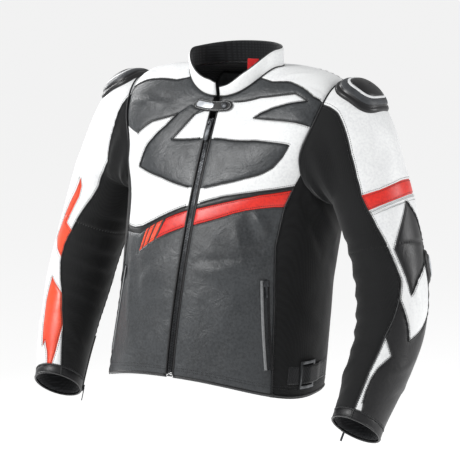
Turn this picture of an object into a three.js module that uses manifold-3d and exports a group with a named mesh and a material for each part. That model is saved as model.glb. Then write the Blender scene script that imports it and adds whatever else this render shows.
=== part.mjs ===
// Two-piece riding suit jacket in leather, with stretch panels, armour, sliders and zips.
// Units are millimetres. +Z is up, the front faces -Y and the wearer's left is +X.
// The origin is the middle of the neck opening at shoulder height.
import * as THREE from 'three';
import { mergeVertices } from 'three/addons/utils/BufferGeometryUtils.js';
import Module from 'manifold-3d';

// ---------------------------------------------------------------- driving sizes
const BODY_LENGTH = 521;        // neck level down to the side hem
const SHOULDER_WIDTH = 428;     // across the ends of the shoulders
const SLEEVE_LENGTH = 405;      // arm line from below the armpit to the cuff edge
const COLLAR_HEIGHT = 31;       // at the sides of the neck
const COLLAR_DIP = 5;           // how much lower the collar is in front
const FRONT_RADIUS = 1400;      // the centre front line is one arc of this radius

const LEATHER = 1.4;            // main shell
const LINING = 1.0;
const SEAM = 0.95;              // gap between neighbouring panels
const LINING_DROP = 2.6;        // free-hanging lining below the shell's inner face
const LINING_SEWN = 0.6;        // lining where it is sewn in at neck and hem
const PROTECTOR = 12;           // back protector thickness
const LIMB_ARMOUR = 6;          // shoulder and elbow armour thickness

const ZIP_GAP = 0.6;            // half the gap that the slider's web runs in
const ZIP_CHAIN = 3.2;          // centre line to the outside of one row of teeth
const ZIP_TAPE = 14;            // centre line to the outside of one tape
const ZIP_FACING = 6.2;         // centre line to the leather's edge
const RUN = 0.3;                // running clearance between parts that slide
const SLIDER_LENGTH = 14;
const SLIDER_HALF_WIDTH = 4.6;
const PLATE = 1.6;              // slider plates
const PULLER_LENGTH = 34;
const PULLER_WIDTH = 9;

const TAB_THICKNESS = 1.8;
const SNAP_RADIUS = 6;
const STRAP_THICKNESS = 1.4;
const POCKET_ZIP_HALF = 7;
const CUFF_ZIP_HALF = 6;
const SMALL_CHAIN = 2.5;        // half width of the pocket, cuff and connecting zip teeth
const SMALL_SLIDER = 10;
const HANG_LOOP_WIDTH = 22;
const CONNECTING_ZIP_RADIUS = 335;
const CONNECTING_ZIP_HALF_LENGTH = 105;

// Torso stations from hem to neck: heights at side, front and back, then half width,
// depth behind the centre and the centre's y. Graded to the driving sizes below.
const STATIONS = [
  [-521, -482, -535, 187, 140, -68],
  [-436, -410, -440, 184, 139, -46],
  [-348, -335, -350, 182, 140, -26],
  [-262, -265, -262, 186, 146, -10],
  [-190, -205, -185, 192, 148, 2],
  [-105, -160, -115, 206, 140, 8],
  [-38, -122, -58, 214, 128, 10],
  [2, -88, -14, 178, 112, 10],
  [17, -56, 12, 126, 90, 6],
  [18, -28, 22, 79, 63, 0],
];
const FRONT_NECK_Y = -62;       // the centre front line at the neck
const FRONT_HEM_Y = -222;       // and at the hem
const FULLNESS = 0.86;          // below 1 the cross sections are fuller than an ellipse

// The armhole is an ellipse on the torso chart: girth in degrees, height as a share.
const ARMHOLE = { girth: 90, height: 0.59, halfGirth: 40, halfHeight: 0.155 };
// The arm line, out, forward and down from the shoulder point, then the sleeve's
// half widths sideways and front to back.
const SHOULDER_DROP = 110;
const SHOULDER_SETBACK = 10;
const ARM_LINE = [
  [45, -9, -75, 63, 74],
  [61, -12, -118, 61, 70],
  [77, -18, -166, 58, 66],
  [93, -28, -226, 57, 62],
  [100, -46, -284, 55, 58],
  [98, -72, -334, 50, 53],
  [92, -98, -376, 46, 48],
  [86, -119, -413, 42, 44],
  [82, -136, -443, 41, 42],
];
const SLEEVE_HEAD = 0.34;       // share of the sleeve chart that is sleeve head
const UPPER_END = 0.588;        // upper sleeve ends, elbow bellows start
const BELLOWS_END = 0.67;
const FOREARM_END = 0.94;
const CUFF_SLANT = 8;
const ARMPIT_START = 0.35;      // the sleeve head starts this share lower at the armpit

// ---------------------------------------------------------------- small helpers
const DEG = Math.PI / 180;
const vec = (x, y, z) => new THREE.Vector3(x, y, z);
const lerp = (a, b, t) => a + (b - a) * t;
const clamp01 = (t) => Math.min(1, Math.max(0, t));
const smooth = (t) => clamp01(t) ** 2 * (3 - 2 * clamp01(t));
const signedPower = (x, p) => Math.sign(x) * Math.abs(x) ** p;

function distance(rows) {
  let total = 0;
  for (let i = 1; i < rows.length; i++) {
    total += Math.hypot(...[0, 1, 2].map((k) => rows[i][k] - rows[i - 1][k]));
  }
  return total;
}

// Catmull-Rom curve through rows of numbers, t from 0 to rows.length - 1.
function throughRows(rows, t) {
  const last = rows.length - 1;
  const i = Math.min(Math.floor(Math.min(Math.max(t, 0), last)), last - 1);
  const f = Math.min(Math.max(t, 0), last) - i;
  const [b, c] = [rows[i], rows[i + 1]];
  const a = i > 0 ? rows[i - 1] : b.map((value, k) => 2 * value - c[k]);
  const d = i < last - 1 ? rows[i + 2] : c.map((value, k) => 2 * value - b[k]);
  return b.map((value, k) => 0.5 * (2 * value + (c[k] - a[k]) * f
    + (2 * a[k] - 5 * value + 4 * c[k] - d[k]) * f * f
    + (3 * value - a[k] - 3 * c[k] + d[k]) * f ** 3));
}

// ---------------------------------------------------------------- the graded block
const LENGTH_GRADE = BODY_LENGTH / -STATIONS[0][0];
const WIDTH_GRADE = SHOULDER_WIDTH / 2 / Math.max(...STATIONS.map((row) => row[3]));
const TORSO = STATIONS.map(([side, front, back, half, depth, centre]) => [
  side * LENGTH_GRADE, front * LENGTH_GRADE, back * LENGTH_GRADE,
  half * WIDTH_GRADE, depth, centre]);
const SHOULDER = vec(SHOULDER_WIDTH / 2, SHOULDER_SETBACK, -SHOULDER_DROP * LENGTH_GRADE);
const SLEEVE_GRADE = SLEEVE_LENGTH / distance(ARM_LINE);
const ARM = ARM_LINE.map(([out, forward, down, side, front]) => [
  SHOULDER.x + ARM_LINE[0][0] + (out - ARM_LINE[0][0]) * SLEEVE_GRADE,
  SHOULDER.y + forward * SLEEVE_GRADE,
  SHOULDER.z + ARM_LINE[0][2] + (down - ARM_LINE[0][2]) * SLEEVE_GRADE, side, front]);

// Centre of the centre front arc, in the plane x = 0.
function frontArcCentre() {
  const [y0, z0] = [FRONT_NECK_Y, TORSO[TORSO.length - 1][1]];
  const [y1, z1] = [FRONT_HEM_Y, TORSO[0][1]];
  const chord = Math.hypot(y1 - y0, z1 - z0);
  const rise = Math.sqrt(FRONT_RADIUS ** 2 - (chord / 2) ** 2);
  return vec(0, (y0 + y1) / 2 - (z1 - z0) / chord * rise, (z0 + z1) / 2 + (y1 - y0) / chord * rise);
}
const FRONT_CENTRE = frontArcCentre();
const frontY = (z) => FRONT_CENTRE.y - Math.sqrt(FRONT_RADIUS ** 2 - (z - FRONT_CENTRE.z) ** 2);

// Torso chart: u in degrees, 0 in front, 90 at the wearer's left; v from hem 0 to neck 1.
function torso(u, v) {
  const [side, front, back, half, depth, centre] = throughRows(TORSO, v * (TORSO.length - 1));
  const [c, s] = [Math.cos(u * DEG), Math.sin(u * DEG)];
  const reach = c > 0 ? centre - frontY(front) : depth;
  const end = c > 0 ? front : back;
  return vec(half * signedPower(s, FULLNESS),
    centre - reach * signedPower(c, FULLNESS), side + (end - side) * c * c);
}
// The girth angle that lies x millimetres from the centre front at height v.
function girthAt(x, v) {
  const half = throughRows(TORSO, v * (TORSO.length - 1))[3];
  return Math.asin(Math.abs(x / half) ** (1 / FULLNESS)) / DEG;
}

// Armhole point on the torso chart: 0 is the top, 90 the front, 180 the armpit.
const armhole = (turn) => [
  ARMHOLE.girth - ARMHOLE.halfGirth * Math.sin(turn * DEG),
  ARMHOLE.height + ARMHOLE.halfHeight * Math.cos(turn * DEG)];

function armAt(t) {
  const [x, y, z, side, front] = throughRows(ARM, t * (ARM.length - 1));
  const [ahead, behind] = [0.001, -0.001].map((e) => throughRows(ARM, (clamp01(t + e)) * (ARM.length - 1)));
  const along = vec(...ahead.slice(0, 3)).sub(vec(...behind.slice(0, 3))).normalize();
  const outward = vec(1, 0, 0).addScaledVector(along, -along.x).normalize();
  const forward = outward.clone().cross(along);
  if (forward.y > 0) forward.negate();
  return { centre: vec(x, y, z), along, outward, forward, side, front };
}
function sleeveRing(turn, t) {
  const arm = armAt(t);
  return arm.centre.clone()
    .addScaledVector(arm.outward, arm.side * Math.cos(turn * DEG))
    .addScaledVector(arm.forward, arm.front * Math.sin(turn * DEG))
    .addScaledVector(arm.along, -CUFF_SLANT * Math.sin(turn * DEG) * smooth((t - 0.7) / 0.3));
}
// Left sleeve chart: turn as on the armhole, s from the armhole 0 to the cuff edge 1.
function sleeve(turn, s) {
  if (s >= SLEEVE_HEAD) return sleeveRing(turn, (s - SLEEVE_HEAD) / (1 - SLEEVE_HEAD));
  const start = torso(...armhole(turn));
  const end = sleeveRing(turn, 0);
  const reach = start.distanceTo(end);
  const lift = Math.cos(turn * DEG);
  const leave = vec(1, 0, 0.25).multiplyScalar(0.6 + 0.4 * lift)
    .addScaledVector(vec(0.25, 0, -1), 0.4 - 0.4 * lift).normalize().multiplyScalar(reach * 1.1);
  const arrive = armAt(0).along.clone().multiplyScalar(reach);
  const f = Math.max(0, s / SLEEVE_HEAD);
  return start.multiplyScalar(2 * f ** 3 - 3 * f * f + 1)
    .addScaledVector(leave, f ** 3 - 2 * f * f + f)
    .addScaledVector(end, -2 * f ** 3 + 3 * f * f)
    .addScaledVector(arrive, f ** 3 - f * f);
}
// Collar chart: u as on the torso, h from the neck seam 0 to the top edge 1.
function collar(u, h) {
  const [c, s] = [Math.cos(u * DEG), Math.sin(u * DEG)];
  const height = (COLLAR_HEIGHT - COLLAR_DIP * c) * h;
  return torso(u, 1).add(vec(0.02 * s * height, (-0.1 - 0.06 * c) * height, height));
}

// ---------------------------------------------------------------- solids
function normalAt(surface, p, q) {
  const step = 0.002;
  const across = surface(p + 100 * step, q).sub(surface(p - 100 * step, q));
  const up = surface(p, q + step).sub(surface(p, q - step));
  return across.cross(up).normalize();
}
const offsetPoint = (surface, p, q, offset) => surface(p, q).addScaledVector(normalAt(surface, p, q), offset);

function solidFrom(points, faces) {
  const geometry = new THREE.BufferGeometry();
  let volume = 0;
  for (const [a, b, c] of faces) volume += points[a].dot(points[b].clone().cross(points[c]));
  const index = volume < 0 ? faces.map(([a, b, c]) => [a, c, b]) : faces;
  geometry.setAttribute('position',
    new THREE.Float32BufferAttribute(points.flatMap((p) => [p.x, p.y, p.z]), 3));
  geometry.setIndex(index.flat());
  geometry.computeVertexNormals();
  return geometry;
}

// A closed slab between two offsets of a surface over a grid of chart points.
// chart(a, b) gives the chart point; inner(a, b) and outer(a, b) give the offsets.
function slab(surface, chart, columns, rows, inner, outer, wrapped = false) {
  const points = [];
  const faces = [];
  const across = wrapped ? columns : columns + 1;
  for (const offset of [outer, inner]) {
    for (let j = 0; j <= rows; j++) {
      for (let i = 0; i < across; i++) {
        const [a, b] = [i / columns, j / rows];
        const [p, q] = chart(a, b);
        const depth = typeof offset === 'function' ? offset(a, b) : offset;
        points.push(offsetPoint(surface, p, q, depth));
      }
    }
  }
  const layer = across * (rows + 1);
  const at = (i, j, k) => k * layer + j * across + (i % across);
  const quad = (a, b, c, d) => faces.push([a, b, c], [a, c, d]);
  for (let i = 0; i < columns; i++) {
    for (let j = 0; j < rows; j++) {
      quad(at(i, j, 0), at(i + 1, j, 0), at(i + 1, j + 1, 0), at(i, j + 1, 0));
      quad(at(i, j, 1), at(i, j + 1, 1), at(i + 1, j + 1, 1), at(i + 1, j, 1));
    }
    quad(at(i, 0, 1), at(i + 1, 0, 1), at(i + 1, 0, 0), at(i, 0, 0));
    quad(at(i, rows, 0), at(i + 1, rows, 0), at(i + 1, rows, 1), at(i, rows, 1));
  }
  for (let j = 0; j < rows && !wrapped; j++) {
    quad(at(0, j, 1), at(0, j, 0), at(0, j + 1, 0), at(0, j + 1, 1));
    quad(at(columns, j, 0), at(columns, j, 1), at(columns, j + 1, 1), at(columns, j + 1, 0));
  }
  return solidFrom(points, faces);
}

// A closed cap over a round or polygonal outline about a centre on the chart.
// outline(angle) gives the chart half extents; outer(r) gives the height at share r.
function cap(surface, centre, outline, sides, rings, inner, outer) {
  const points = [];
  const faces = [];
  for (const offset of [outer, () => inner]) {
    points.push(offsetPoint(surface, ...centre, offset(0)));
    for (let j = 1; j <= rings; j++) {
      for (let i = 0; i < sides; i++) {
        const [du, dv] = outline((i / sides) * 2 * Math.PI);
        const r = j / rings;
        points.push(offsetPoint(surface, centre[0] + du * r, centre[1] + dv * r, offset(r)));
      }
    }
  }
  const layer = 1 + sides * rings;
  const at = (i, j, k) => k * layer + (j === 0 ? 0 : 1 + (j - 1) * sides + (i % sides));
  for (let i = 0; i < sides; i++) {
    faces.push([at(0, 0, 0), at(i, 1, 0), at(i + 1, 1, 0)], [at(0, 0, 1), at(i + 1, 1, 1), at(i, 1, 1)]);
    for (let j = 1; j < rings; j++) {
      faces.push([at(i, j, 0), at(i, j + 1, 0), at(i + 1, j + 1, 0)]);
      faces.push([at(i, j, 0), at(i + 1, j + 1, 0), at(i + 1, j, 0)]);
      faces.push([at(i, j, 1), at(i + 1, j + 1, 1), at(i, j + 1, 1)]);
      faces.push([at(i, j, 1), at(i + 1, j, 1), at(i + 1, j + 1, 1)]);
    }
    faces.push([at(i, rings, 0), at(i, rings, 1), at(i + 1, rings, 1)]);
    faces.push([at(i, rings, 0), at(i + 1, rings, 1), at(i + 1, rings, 0)]);
  }
  return solidFrom(points, faces);
}

function mirrored(geometry) {
  const copy = geometry.clone().applyMatrix4(new THREE.Matrix4().makeScale(-1, 1, 1));
  const index = Array.from(copy.index.array);
  for (let i = 0; i < index.length; i += 3) [index[i], index[i + 1]] = [index[i + 1], index[i]];
  copy.setIndex(index);
  copy.computeVertexNormals();
  return copy;
}

// ---------------------------------------------------------------- joining solids
const wasm = await Module();
wasm.setup();
function toSolid(geometry) {
  const bare = geometry.index ? geometry.clone() : geometry;
  bare.deleteAttribute('normal');
  bare.deleteAttribute('uv');
  const merged = mergeVertices(bare, 1e-4);
  return new wasm.Manifold(new wasm.Mesh({
    numProp: 3,
    vertProperties: new Float32Array(merged.attributes.position.array),
    triVerts: new Uint32Array(merged.index.array),
  }));
}
function fromSolid(solid) {
  const mesh = solid.getMesh();
  const geometry = new THREE.BufferGeometry();
  geometry.setAttribute('position', new THREE.BufferAttribute(new Float32Array(mesh.vertProperties), 3));
  geometry.setIndex(Array.from(mesh.triVerts));
  geometry.computeVertexNormals();
  return geometry;
}
const joined = (...pieces) => fromSolid(pieces.map(toSolid).reduce((whole, piece) => whole.add(piece)));

// ---------------------------------------------------------------- seams on the chart
// Girth and height are brought to millimetres only to share out points along an edge.
const chartLength = ([u0, v0], [u1, v1]) => Math.hypot((u1 - u0) * 3.3, (v1 - v0) * BODY_LENGTH);
const path = (...points) => (t) => {
  const lengths = points.slice(1).map((point, i) => chartLength(points[i], point));
  let left = t * lengths.reduce((sum, length) => sum + length, 0);
  for (let i = 0; i < lengths.length; i++) {
    if (left <= lengths[i] || i === lengths.length - 1) {
      const f = left / lengths[i];
      return [lerp(points[i][0], points[i + 1][0], f), lerp(points[i][1], points[i + 1][1], f)];
    }
    left -= lengths[i];
  }
};
const ARC_POINTS = 12;
const arcPoints = (from, to) => Array.from({ length: ARC_POINTS + 1 },
  (_, i) => armhole(lerp(from, to, i / ARC_POINTS)));
const zipEdge = (from, to) => (t) => {
  const v = lerp(from, to, t);
  return [girthAt(ZIP_FACING, v), v];
};

// A patch between four edges. Bottom and top run the same way, left and right go up.
const patch = (bottom, right, top, left) => (a, b) => [0, 1].map((k) =>
  lerp(bottom(a)[k], top(a)[k], b) + lerp(left(b)[k], right(b)[k], a)
  - lerp(lerp(bottom(0)[k], bottom(1)[k], a), lerp(top(0)[k], top(1)[k], a), b));

// Draws a patch in by half the seam gap on every side.
function seamed(surface, chart) {
  const size = (from, to) => surface(...chart(...from)).distanceTo(surface(...chart(...to)));
  const across = (size([0, 0.5], [0.5, 0.5]) + size([0.5, 0.5], [1, 0.5]));
  const up = (size([0.5, 0], [0.5, 0.5]) + size([0.5, 0.5], [0.5, 1]));
  const [i, j] = [SEAM / 2 / across, SEAM / 2 / up];
  return (a, b) => chart(lerp(i, 1 - i, a), lerp(j, 1 - j, b));
}
const panel = (chart, columns, rows) => slab(torso, seamed(torso, chart), columns, rows, 0, LEATHER);

// Seam ends on the torso chart, for the left half.
const CHEST_SEAM = 0.46;                   // height at the centre front
const CHEST_SEAM_SIDE = [52, 0.487];
const SIDE_SEAM_FRONT = [[56, 0], [53, 0.2], [48, 0.33], [49, 0.44]];
const SIDE_SEAM_BACK = [[126, 0], [129, 0.2], [128, 0.38]];
const SIDE_TOP_FRONT = 118;                // armhole turns where seams end
const YOKE_FRONT = 18;
const YOKE_BACK = 335;
const SIDE_TOP_BACK = 242;
const YOKE_SEAM = [[20, 0.93], [41, 0.905], [62, 0.81]];
const YOKE_SEAM_HEIGHT = 0.93;
const YOKE_NECK = 125;
const NECK_LINE = 0.992;
const LUMBAR_SEAM = 0.38;

const NECK_CORNER = [YOKE_NECK, NECK_LINE];
const YOKE_BACK_BEND = [119, 0.86];
const aboutBack = (edge) => (t) => [360 - edge(t)[0], edge(t)[1]];
const acrossBack = ([u, v]) => path([u, v], [360 - u, v]);

function torsoPanels() {
  const zipAt = (v) => [girthAt(ZIP_FACING, v), v];
  const chestSeam = path(zipAt(CHEST_SEAM), [20, 0.48], CHEST_SEAM_SIDE);
  const yokeSeam = path(zipAt(YOKE_SEAM_HEIGHT), ...YOKE_SEAM, armhole(YOKE_FRONT));
  const yokeLower = path(zipAt(YOKE_SEAM_HEIGHT), ...YOKE_SEAM, ...arcPoints(YOKE_FRONT, YOKE_BACK - 360));
  const yokeBack = path(armhole(YOKE_BACK), YOKE_BACK_BEND, NECK_CORNER);
  const chestSide = path(CHEST_SEAM_SIDE, ...arcPoints(SIDE_TOP_FRONT, YOKE_FRONT));
  const sideFront = path(...SIDE_SEAM_FRONT, CHEST_SEAM_SIDE);
  const sideBack = path(...SIDE_SEAM_BACK);
  const backSide = path(SIDE_SEAM_BACK[2], ...arcPoints(SIDE_TOP_BACK, YOKE_BACK), YOKE_BACK_BEND, NECK_CORNER);
  return {
    lower_front: panel(patch(path(zipAt(0), SIDE_SEAM_FRONT[0]), sideFront, chestSeam,
      zipEdge(0, CHEST_SEAM)), 9, 9),
    chest_panel: panel(patch(chestSeam, chestSide, yokeSeam, zipEdge(CHEST_SEAM, YOKE_SEAM_HEIGHT)), 9, 11),
    yoke: panel(patch(yokeLower, yokeBack, path(zipAt(NECK_LINE), NECK_CORNER),
      zipEdge(YOKE_SEAM_HEIGHT, NECK_LINE)), 18, 4),
    side_panel: panel(patch(path(SIDE_SEAM_FRONT[0], SIDE_SEAM_BACK[0]),
      path(...SIDE_SEAM_BACK, armhole(SIDE_TOP_BACK)), path(...arcPoints(SIDE_TOP_FRONT, SIDE_TOP_BACK)),
      path(...SIDE_SEAM_FRONT, CHEST_SEAM_SIDE, armhole(SIDE_TOP_FRONT))), 9, 9),
    back_panel: panel(patch(acrossBack(SIDE_SEAM_BACK[2]), aboutBack(backSide), acrossBack(NECK_CORNER),
      backSide), 14, 14),
    lumbar_panel: panel(patch(acrossBack(SIDE_SEAM_BACK[0]), aboutBack(sideBack),
      acrossBack(SIDE_SEAM_BACK[2]), sideBack), 12, 6),
  };
}

// ---------------------------------------------------------------- lining with armholes
// A slab over kept cells of a chart grid. snap moves a chart point onto the cut edge.
function cutSheet(surface, us, vs, keep, snap, inner, outer) {
  const points = [];
  const faces = [];
  const sides = new Map();
  const ids = new Map();
  const pointAt = (i, j, k) => {
    const key = `${i},${j},${k}`;
    if (!ids.has(key)) {
      const [u, v] = snap(us[i], vs[j]);
      ids.set(key, points.length);
      points.push(offsetPoint(surface, u, v, k ? inner(u, v) : outer(u, v)));
    }
    return ids.get(key);
  };
  for (let i = 0; i + 1 < us.length; i++) {
    for (let j = 0; j + 1 < vs.length; j++) {
      if (!keep((us[i] + us[i + 1]) / 2, (vs[j] + vs[j + 1]) / 2)) continue;
      const corners = [[i, j], [i + 1, j], [i + 1, j + 1], [i, j + 1]];
      const [a, b, c, d] = corners.map(([m, n]) => pointAt(m, n, 0));
      const [e, f, g, h] = corners.map(([m, n]) => pointAt(m, n, 1));
      faces.push([a, b, c], [a, c, d], [e, g, f], [e, h, g]);
      corners.forEach((corner, k) => {
        const next = corners[(k + 1) % 4];
        const back = `${next}|${corner}`;
        if (sides.has(back)) sides.delete(back);
        else sides.set(`${corner}|${next}`, [corner, next]);
      });
    }
  }
  for (const [from, to] of sides.values()) {
    const [a, b] = [pointAt(...from, 0), pointAt(...to, 0)];
    const [c, d] = [pointAt(...to, 1), pointAt(...from, 1)];
    faces.push([a, d, c], [a, c, b]);
  }
  return solidFrom(points, faces);
}
const steps = (from, to, count) => Array.from({ length: count + 1 }, (_, i) => lerp(from, to, i / count));

const LINING_EDGE = 24;          // centre front to the lining's front edge
const LINING_CUT = 1.08;         // the lining's armhole is this much larger
const LINING_HEM = 0.01;
function liningDrop(v) {
  const sewn = Math.min(smooth((v - LINING_HEM) / 0.06), smooth((1 - v) / 0.05));
  return -lerp(LINING_SEWN, LINING_DROP, sewn);
}
function torsoLining() {
  const edge = girthAt(LINING_EDGE, 0.5);
  const ratio = (u, v) => Math.hypot((Math.min(u, 360 - u) - ARMHOLE.girth) / ARMHOLE.halfGirth,
    (v - ARMHOLE.height) / ARMHOLE.halfHeight);
  const snap = (u, v) => {
    const r = ratio(u, v);
    if (r >= LINING_CUT) return [u, v];
    const side = u < 180 ? ARMHOLE.girth : 360 - ARMHOLE.girth;
    return [side + (u - side) / r * LINING_CUT, ARMHOLE.height + (v - ARMHOLE.height) / r * LINING_CUT];
  };
  return cutSheet(torso, steps(edge, 360 - edge, 36), steps(LINING_HEM, 1, 18),
    (u, v) => ratio(u, v) > LINING_CUT, snap, (u, v) => liningDrop(v) - LINING, (u, v) => liningDrop(v));
}

// ---------------------------------------------------------------- zip runs
// A flat ribbon bent along the arc from low 0 to high 1, bulging as the middle point does,
// in the plane that holds both ends and the outward direction; x runs across.
function arcRun(low, middle, high, outwards) {
  const b = high.clone().sub(low);
  const a = middle.clone().sub(low).projectOnPlane(b.clone().cross(outwards).normalize());
  const flat = a.clone().cross(b);
  const centre = flat.clone().cross(a).multiplyScalar(b.lengthSq())
    .add(b.clone().cross(flat).multiplyScalar(a.lengthSq())).divideScalar(2 * flat.lengthSq()).add(low);
  const axis = flat.clone().normalize();
  const radial = low.clone().sub(centre);
  const angle = radial.angleTo(high.clone().sub(centre));
  const across = axis.clone().multiplyScalar(radial.dot(outwards) > 0 ? -1 : 1);
  const surface = (x, q) => radial.clone().applyAxisAngle(axis, q * angle).add(centre).addScaledVector(across, x);
  return { surface, centre, axis, across, angle, length: angle * radial.length() };
}
// The frame that a slider has on a run: origin, across, up along the run and outwards.
function frameOn(run, q) {
  const up = run.surface(0, q + 0.001).sub(run.surface(0, q - 0.001)).normalize();
  return { origin: run.surface(0, q), across: run.across, up, out: run.across.clone().cross(up) };
}
function outlineShape(points, hole) {
  const shape = new THREE.Shape(points.map(([x, y]) => new THREE.Vector2(x, y)));
  if (hole) shape.holes.push(new THREE.Path(hole.map(([x, y]) => new THREE.Vector2(x, y))));
  return shape;
}
const rectangle = (x0, x1, y0, y1) => [[x0, y0], [x1, y0], [x1, y1], [x0, y1]];
function extruded(shape, depth, origin, xAxis, yAxis) {
  const zAxis = xAxis.clone().cross(yAxis);
  const geometry = new THREE.ExtrudeGeometry(shape, { depth, bevelEnabled: false });
  geometry.translate(0, 0, -depth / 2);
  return geometry.applyMatrix4(new THREE.Matrix4().makeBasis(xAxis, yAxis, zAxis).setPosition(origin));
}
const ribbon = (run, x0, x1, q0, q1, rows, inner, outer) =>
  slab(run.surface, (a, b) => [lerp(x0, x1, a), lerp(q0, q1, b)], 1, rows, inner, outer);

// Front zip. Offsets are measured outwards from the leather's inner face.
const ZIP_TOP = -66;             // heights on the centre front, before grading
const ZIP_BOTTOM = -477;
const CHAIN_BACK = -1.6;
const CHAIN_FACE = 1.2;
const TAPE_BACK = -1.5;
const TAPE_FACE = -0.8;
const ZIP_ROWS = 20;
const STOP_DROP = 1.741953579;         // end of the teeth to the middle of the bottom stop
const frontRun = (() => {
  const onLine = (z) => vec(0, frontY(z * LENGTH_GRADE), z * LENGTH_GRADE);
  return arcRun(onLine(ZIP_BOTTOM), onLine((ZIP_TOP + ZIP_BOTTOM) / 2), onLine(ZIP_TOP), vec(0, -1, 0));
})();
const FRONT_REST = 1 - SLIDER_LENGTH / 2 / frontRun.length;
const BAIL_HALF = 4.2;
const BAIL_WALL = 1.6;
const BAIL_THICK = 1.8;
const BAIL_TOP = 7.8;
const BAR = 1.6;
const TOP_PLATE = CHAIN_FACE + RUN;
const PULLER_AXIS = TOP_PLATE + PLATE + 2.2;

function frontTape() {
  return ribbon(frontRun, ZIP_CHAIN + RUN, ZIP_TAPE, 0, 1, ZIP_ROWS, TAPE_BACK, TAPE_FACE);
}
function frontStop() {
  const { origin, across, up, out } = frameOn(frontRun, -STOP_DROP / frontRun.length);
  const block = outlineShape(rectangle(-ZIP_CHAIN - 1, ZIP_CHAIN + 1, CHAIN_BACK, CHAIN_FACE));
  return extruded(block, 2.4, origin, across, out).translate(...up.multiplyScalar(-0.4).toArray());
}
function frontSlider() {
  const { origin, across, up, out } = frameOn(frontRun, FRONT_REST);
  const web = ZIP_GAP - RUN;
  const w = SLIDER_HALF_WIDTH;
  const low = CHAIN_BACK - RUN;
  const section = outlineShape([[-w, low - PLATE], [w, low - PLATE], [w, low], [web, low],
    [web, TOP_PLATE], [w, TOP_PLATE], [w, TOP_PLATE + PLATE], [-w, TOP_PLATE + PLATE], [-w, TOP_PLATE],
    [-web, TOP_PLATE], [-web, low], [-w, low]]);
  const bail = outlineShape(rectangle(-BAIL_HALF, BAIL_HALF, TOP_PLATE + PLATE / 2, BAIL_TOP),
    rectangle(-BAIL_HALF + BAIL_WALL, BAIL_HALF - BAIL_WALL, TOP_PLATE + PLATE + 0.8, BAIL_TOP - 1));
  return joined(extruded(section, SLIDER_LENGTH, origin, across, out),
    extruded(bail, BAIL_THICK, origin, up, out));
}
function frontPuller() {
  const { origin, across, up, out } = frameOn(frontRun, FRONT_REST);
  const [w, slot] = [PULLER_WIDTH / 2, BAIL_THICK / 2 + 0.5];
  const outline = outlineShape([[-w + 1, BAR / 2], [-w, -2], [-w, -PULLER_LENGTH + 3],
    [-w + 2, -PULLER_LENGTH], [w - 2, -PULLER_LENGTH], [w, -PULLER_LENGTH + 3], [w, -2], [w - 1, BAR / 2]],
  rectangle(-slot, slot, -BAIL_HALF - 1.6, -BAR / 2));
  return extruded(outline, BAR, origin.addScaledVector(out, PULLER_AXIS), across, up);
}
const signedGirth = (x, v) => Math.sign(x) * girthAt(x, v);
function windFlap() {
  const top = -(LINING_DROP + LINING + 0.6);
  return slab(torso, (a, b) => {
    const v = lerp(0.012, 0.86, b);
    return [signedGirth(lerp(-10, 34, a), v), v];
  }, 4, 16, top - LINING, top);
}

// The small zips: one strip of tape and closed teeth, and a slider that straddles them.
const TAPE = 0.8;
const SMALL_FACE = 2.0;
function zipStrip(run, half, rows) {
  const places = [-half, -SMALL_CHAIN - 0.2, -SMALL_CHAIN, SMALL_CHAIN, SMALL_CHAIN + 0.2, half];
  const last = places.length - 1;
  const at = (a) => places[Math.round(a * last)];
  return slab(run.surface, (a, b) => [at(a), b], last, rows, 0,
    (a) => (Math.abs(at(a)) <= SMALL_CHAIN ? SMALL_FACE : TAPE));
}
function smallSlider(run, q, hang) {
  const { origin, across, up, out } = frameOn(run, q);
  const [inside, face] = [SMALL_CHAIN + 0.2 + RUN, SMALL_FACE + RUN];
  const [w, top] = [inside + 1.3, face + 1.4];
  const section = outlineShape([[-w, TAPE + RUN], [-inside, TAPE + RUN], [-inside, face], [inside, face],
    [inside, TAPE + RUN], [w, TAPE + RUN], [w, top], [-w, top]]);
  const pull = outlineShape(rectangle(-1.8, 1.8, -SMALL_SLIDER / 2 - 18, 0));
  const lifted = origin.clone().addScaledVector(out, top);
  return joined(extruded(section, SMALL_SLIDER, origin, across, out),
    extruded(pull, 1.4, lifted, hang > 0 ? across : across.clone().negate(),
      hang > 0 ? up : up.clone().negate()));
}
const POCKET_LINE = [[53, 0.06], [48.8, 0.157], [45, 0.253]];
const pocketRun = arcRun(...POCKET_LINE.map(([u, v]) => offsetPoint(torso, u, v, LEATHER + 0.5)),
  normalAt(torso, ...POCKET_LINE[1]));
const CUFF_LINE = [[222, 0.99], [222, 0.89], [222, 0.79]];
const cuffRun = arcRun(...CUFF_LINE.map(([turn, s]) => offsetPoint(sleeve, turn, s, LEATHER + 0.7)),
  normalAt(sleeve, ...CUFF_LINE[1]));
const connectingRun = (() => {
  const radius = CONNECTING_ZIP_RADIUS * WIDTH_GRADE ** 2;
  const hem = torso(180, 0);
  const [y, z] = [hem.y - LINING_SEWN - LINING + 0.3, hem.z + POCKET_ZIP_HALF + 5];
  const reach = CONNECTING_ZIP_HALF_LENGTH * WIDTH_GRADE / radius;
  const on = (angle) => vec(radius * Math.sin(angle), y - radius * (1 - Math.cos(angle)), z);
  return arcRun(on(reach), on(0), on(-reach), vec(0, -1, 0));
})();
const restNear = (run, end) => (end ? 1 - SMALL_SLIDER / 2 / run.length : SMALL_SLIDER / 2 / run.length);

// ---------------------------------------------------------------- sleeves and armour
const TURNS = 20;
const HEAD_START = 0.004;
function sleeveTube(from, to, rows, inner, outer) {
  const trim = SEAM / 2 / (SLEEVE_LENGTH / (1 - SLEEVE_HEAD));
  return slab(sleeve, (a, b) => [360 * a, lerp(from + trim, to - trim, b)], TURNS, rows, inner, outer, true);
}
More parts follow.
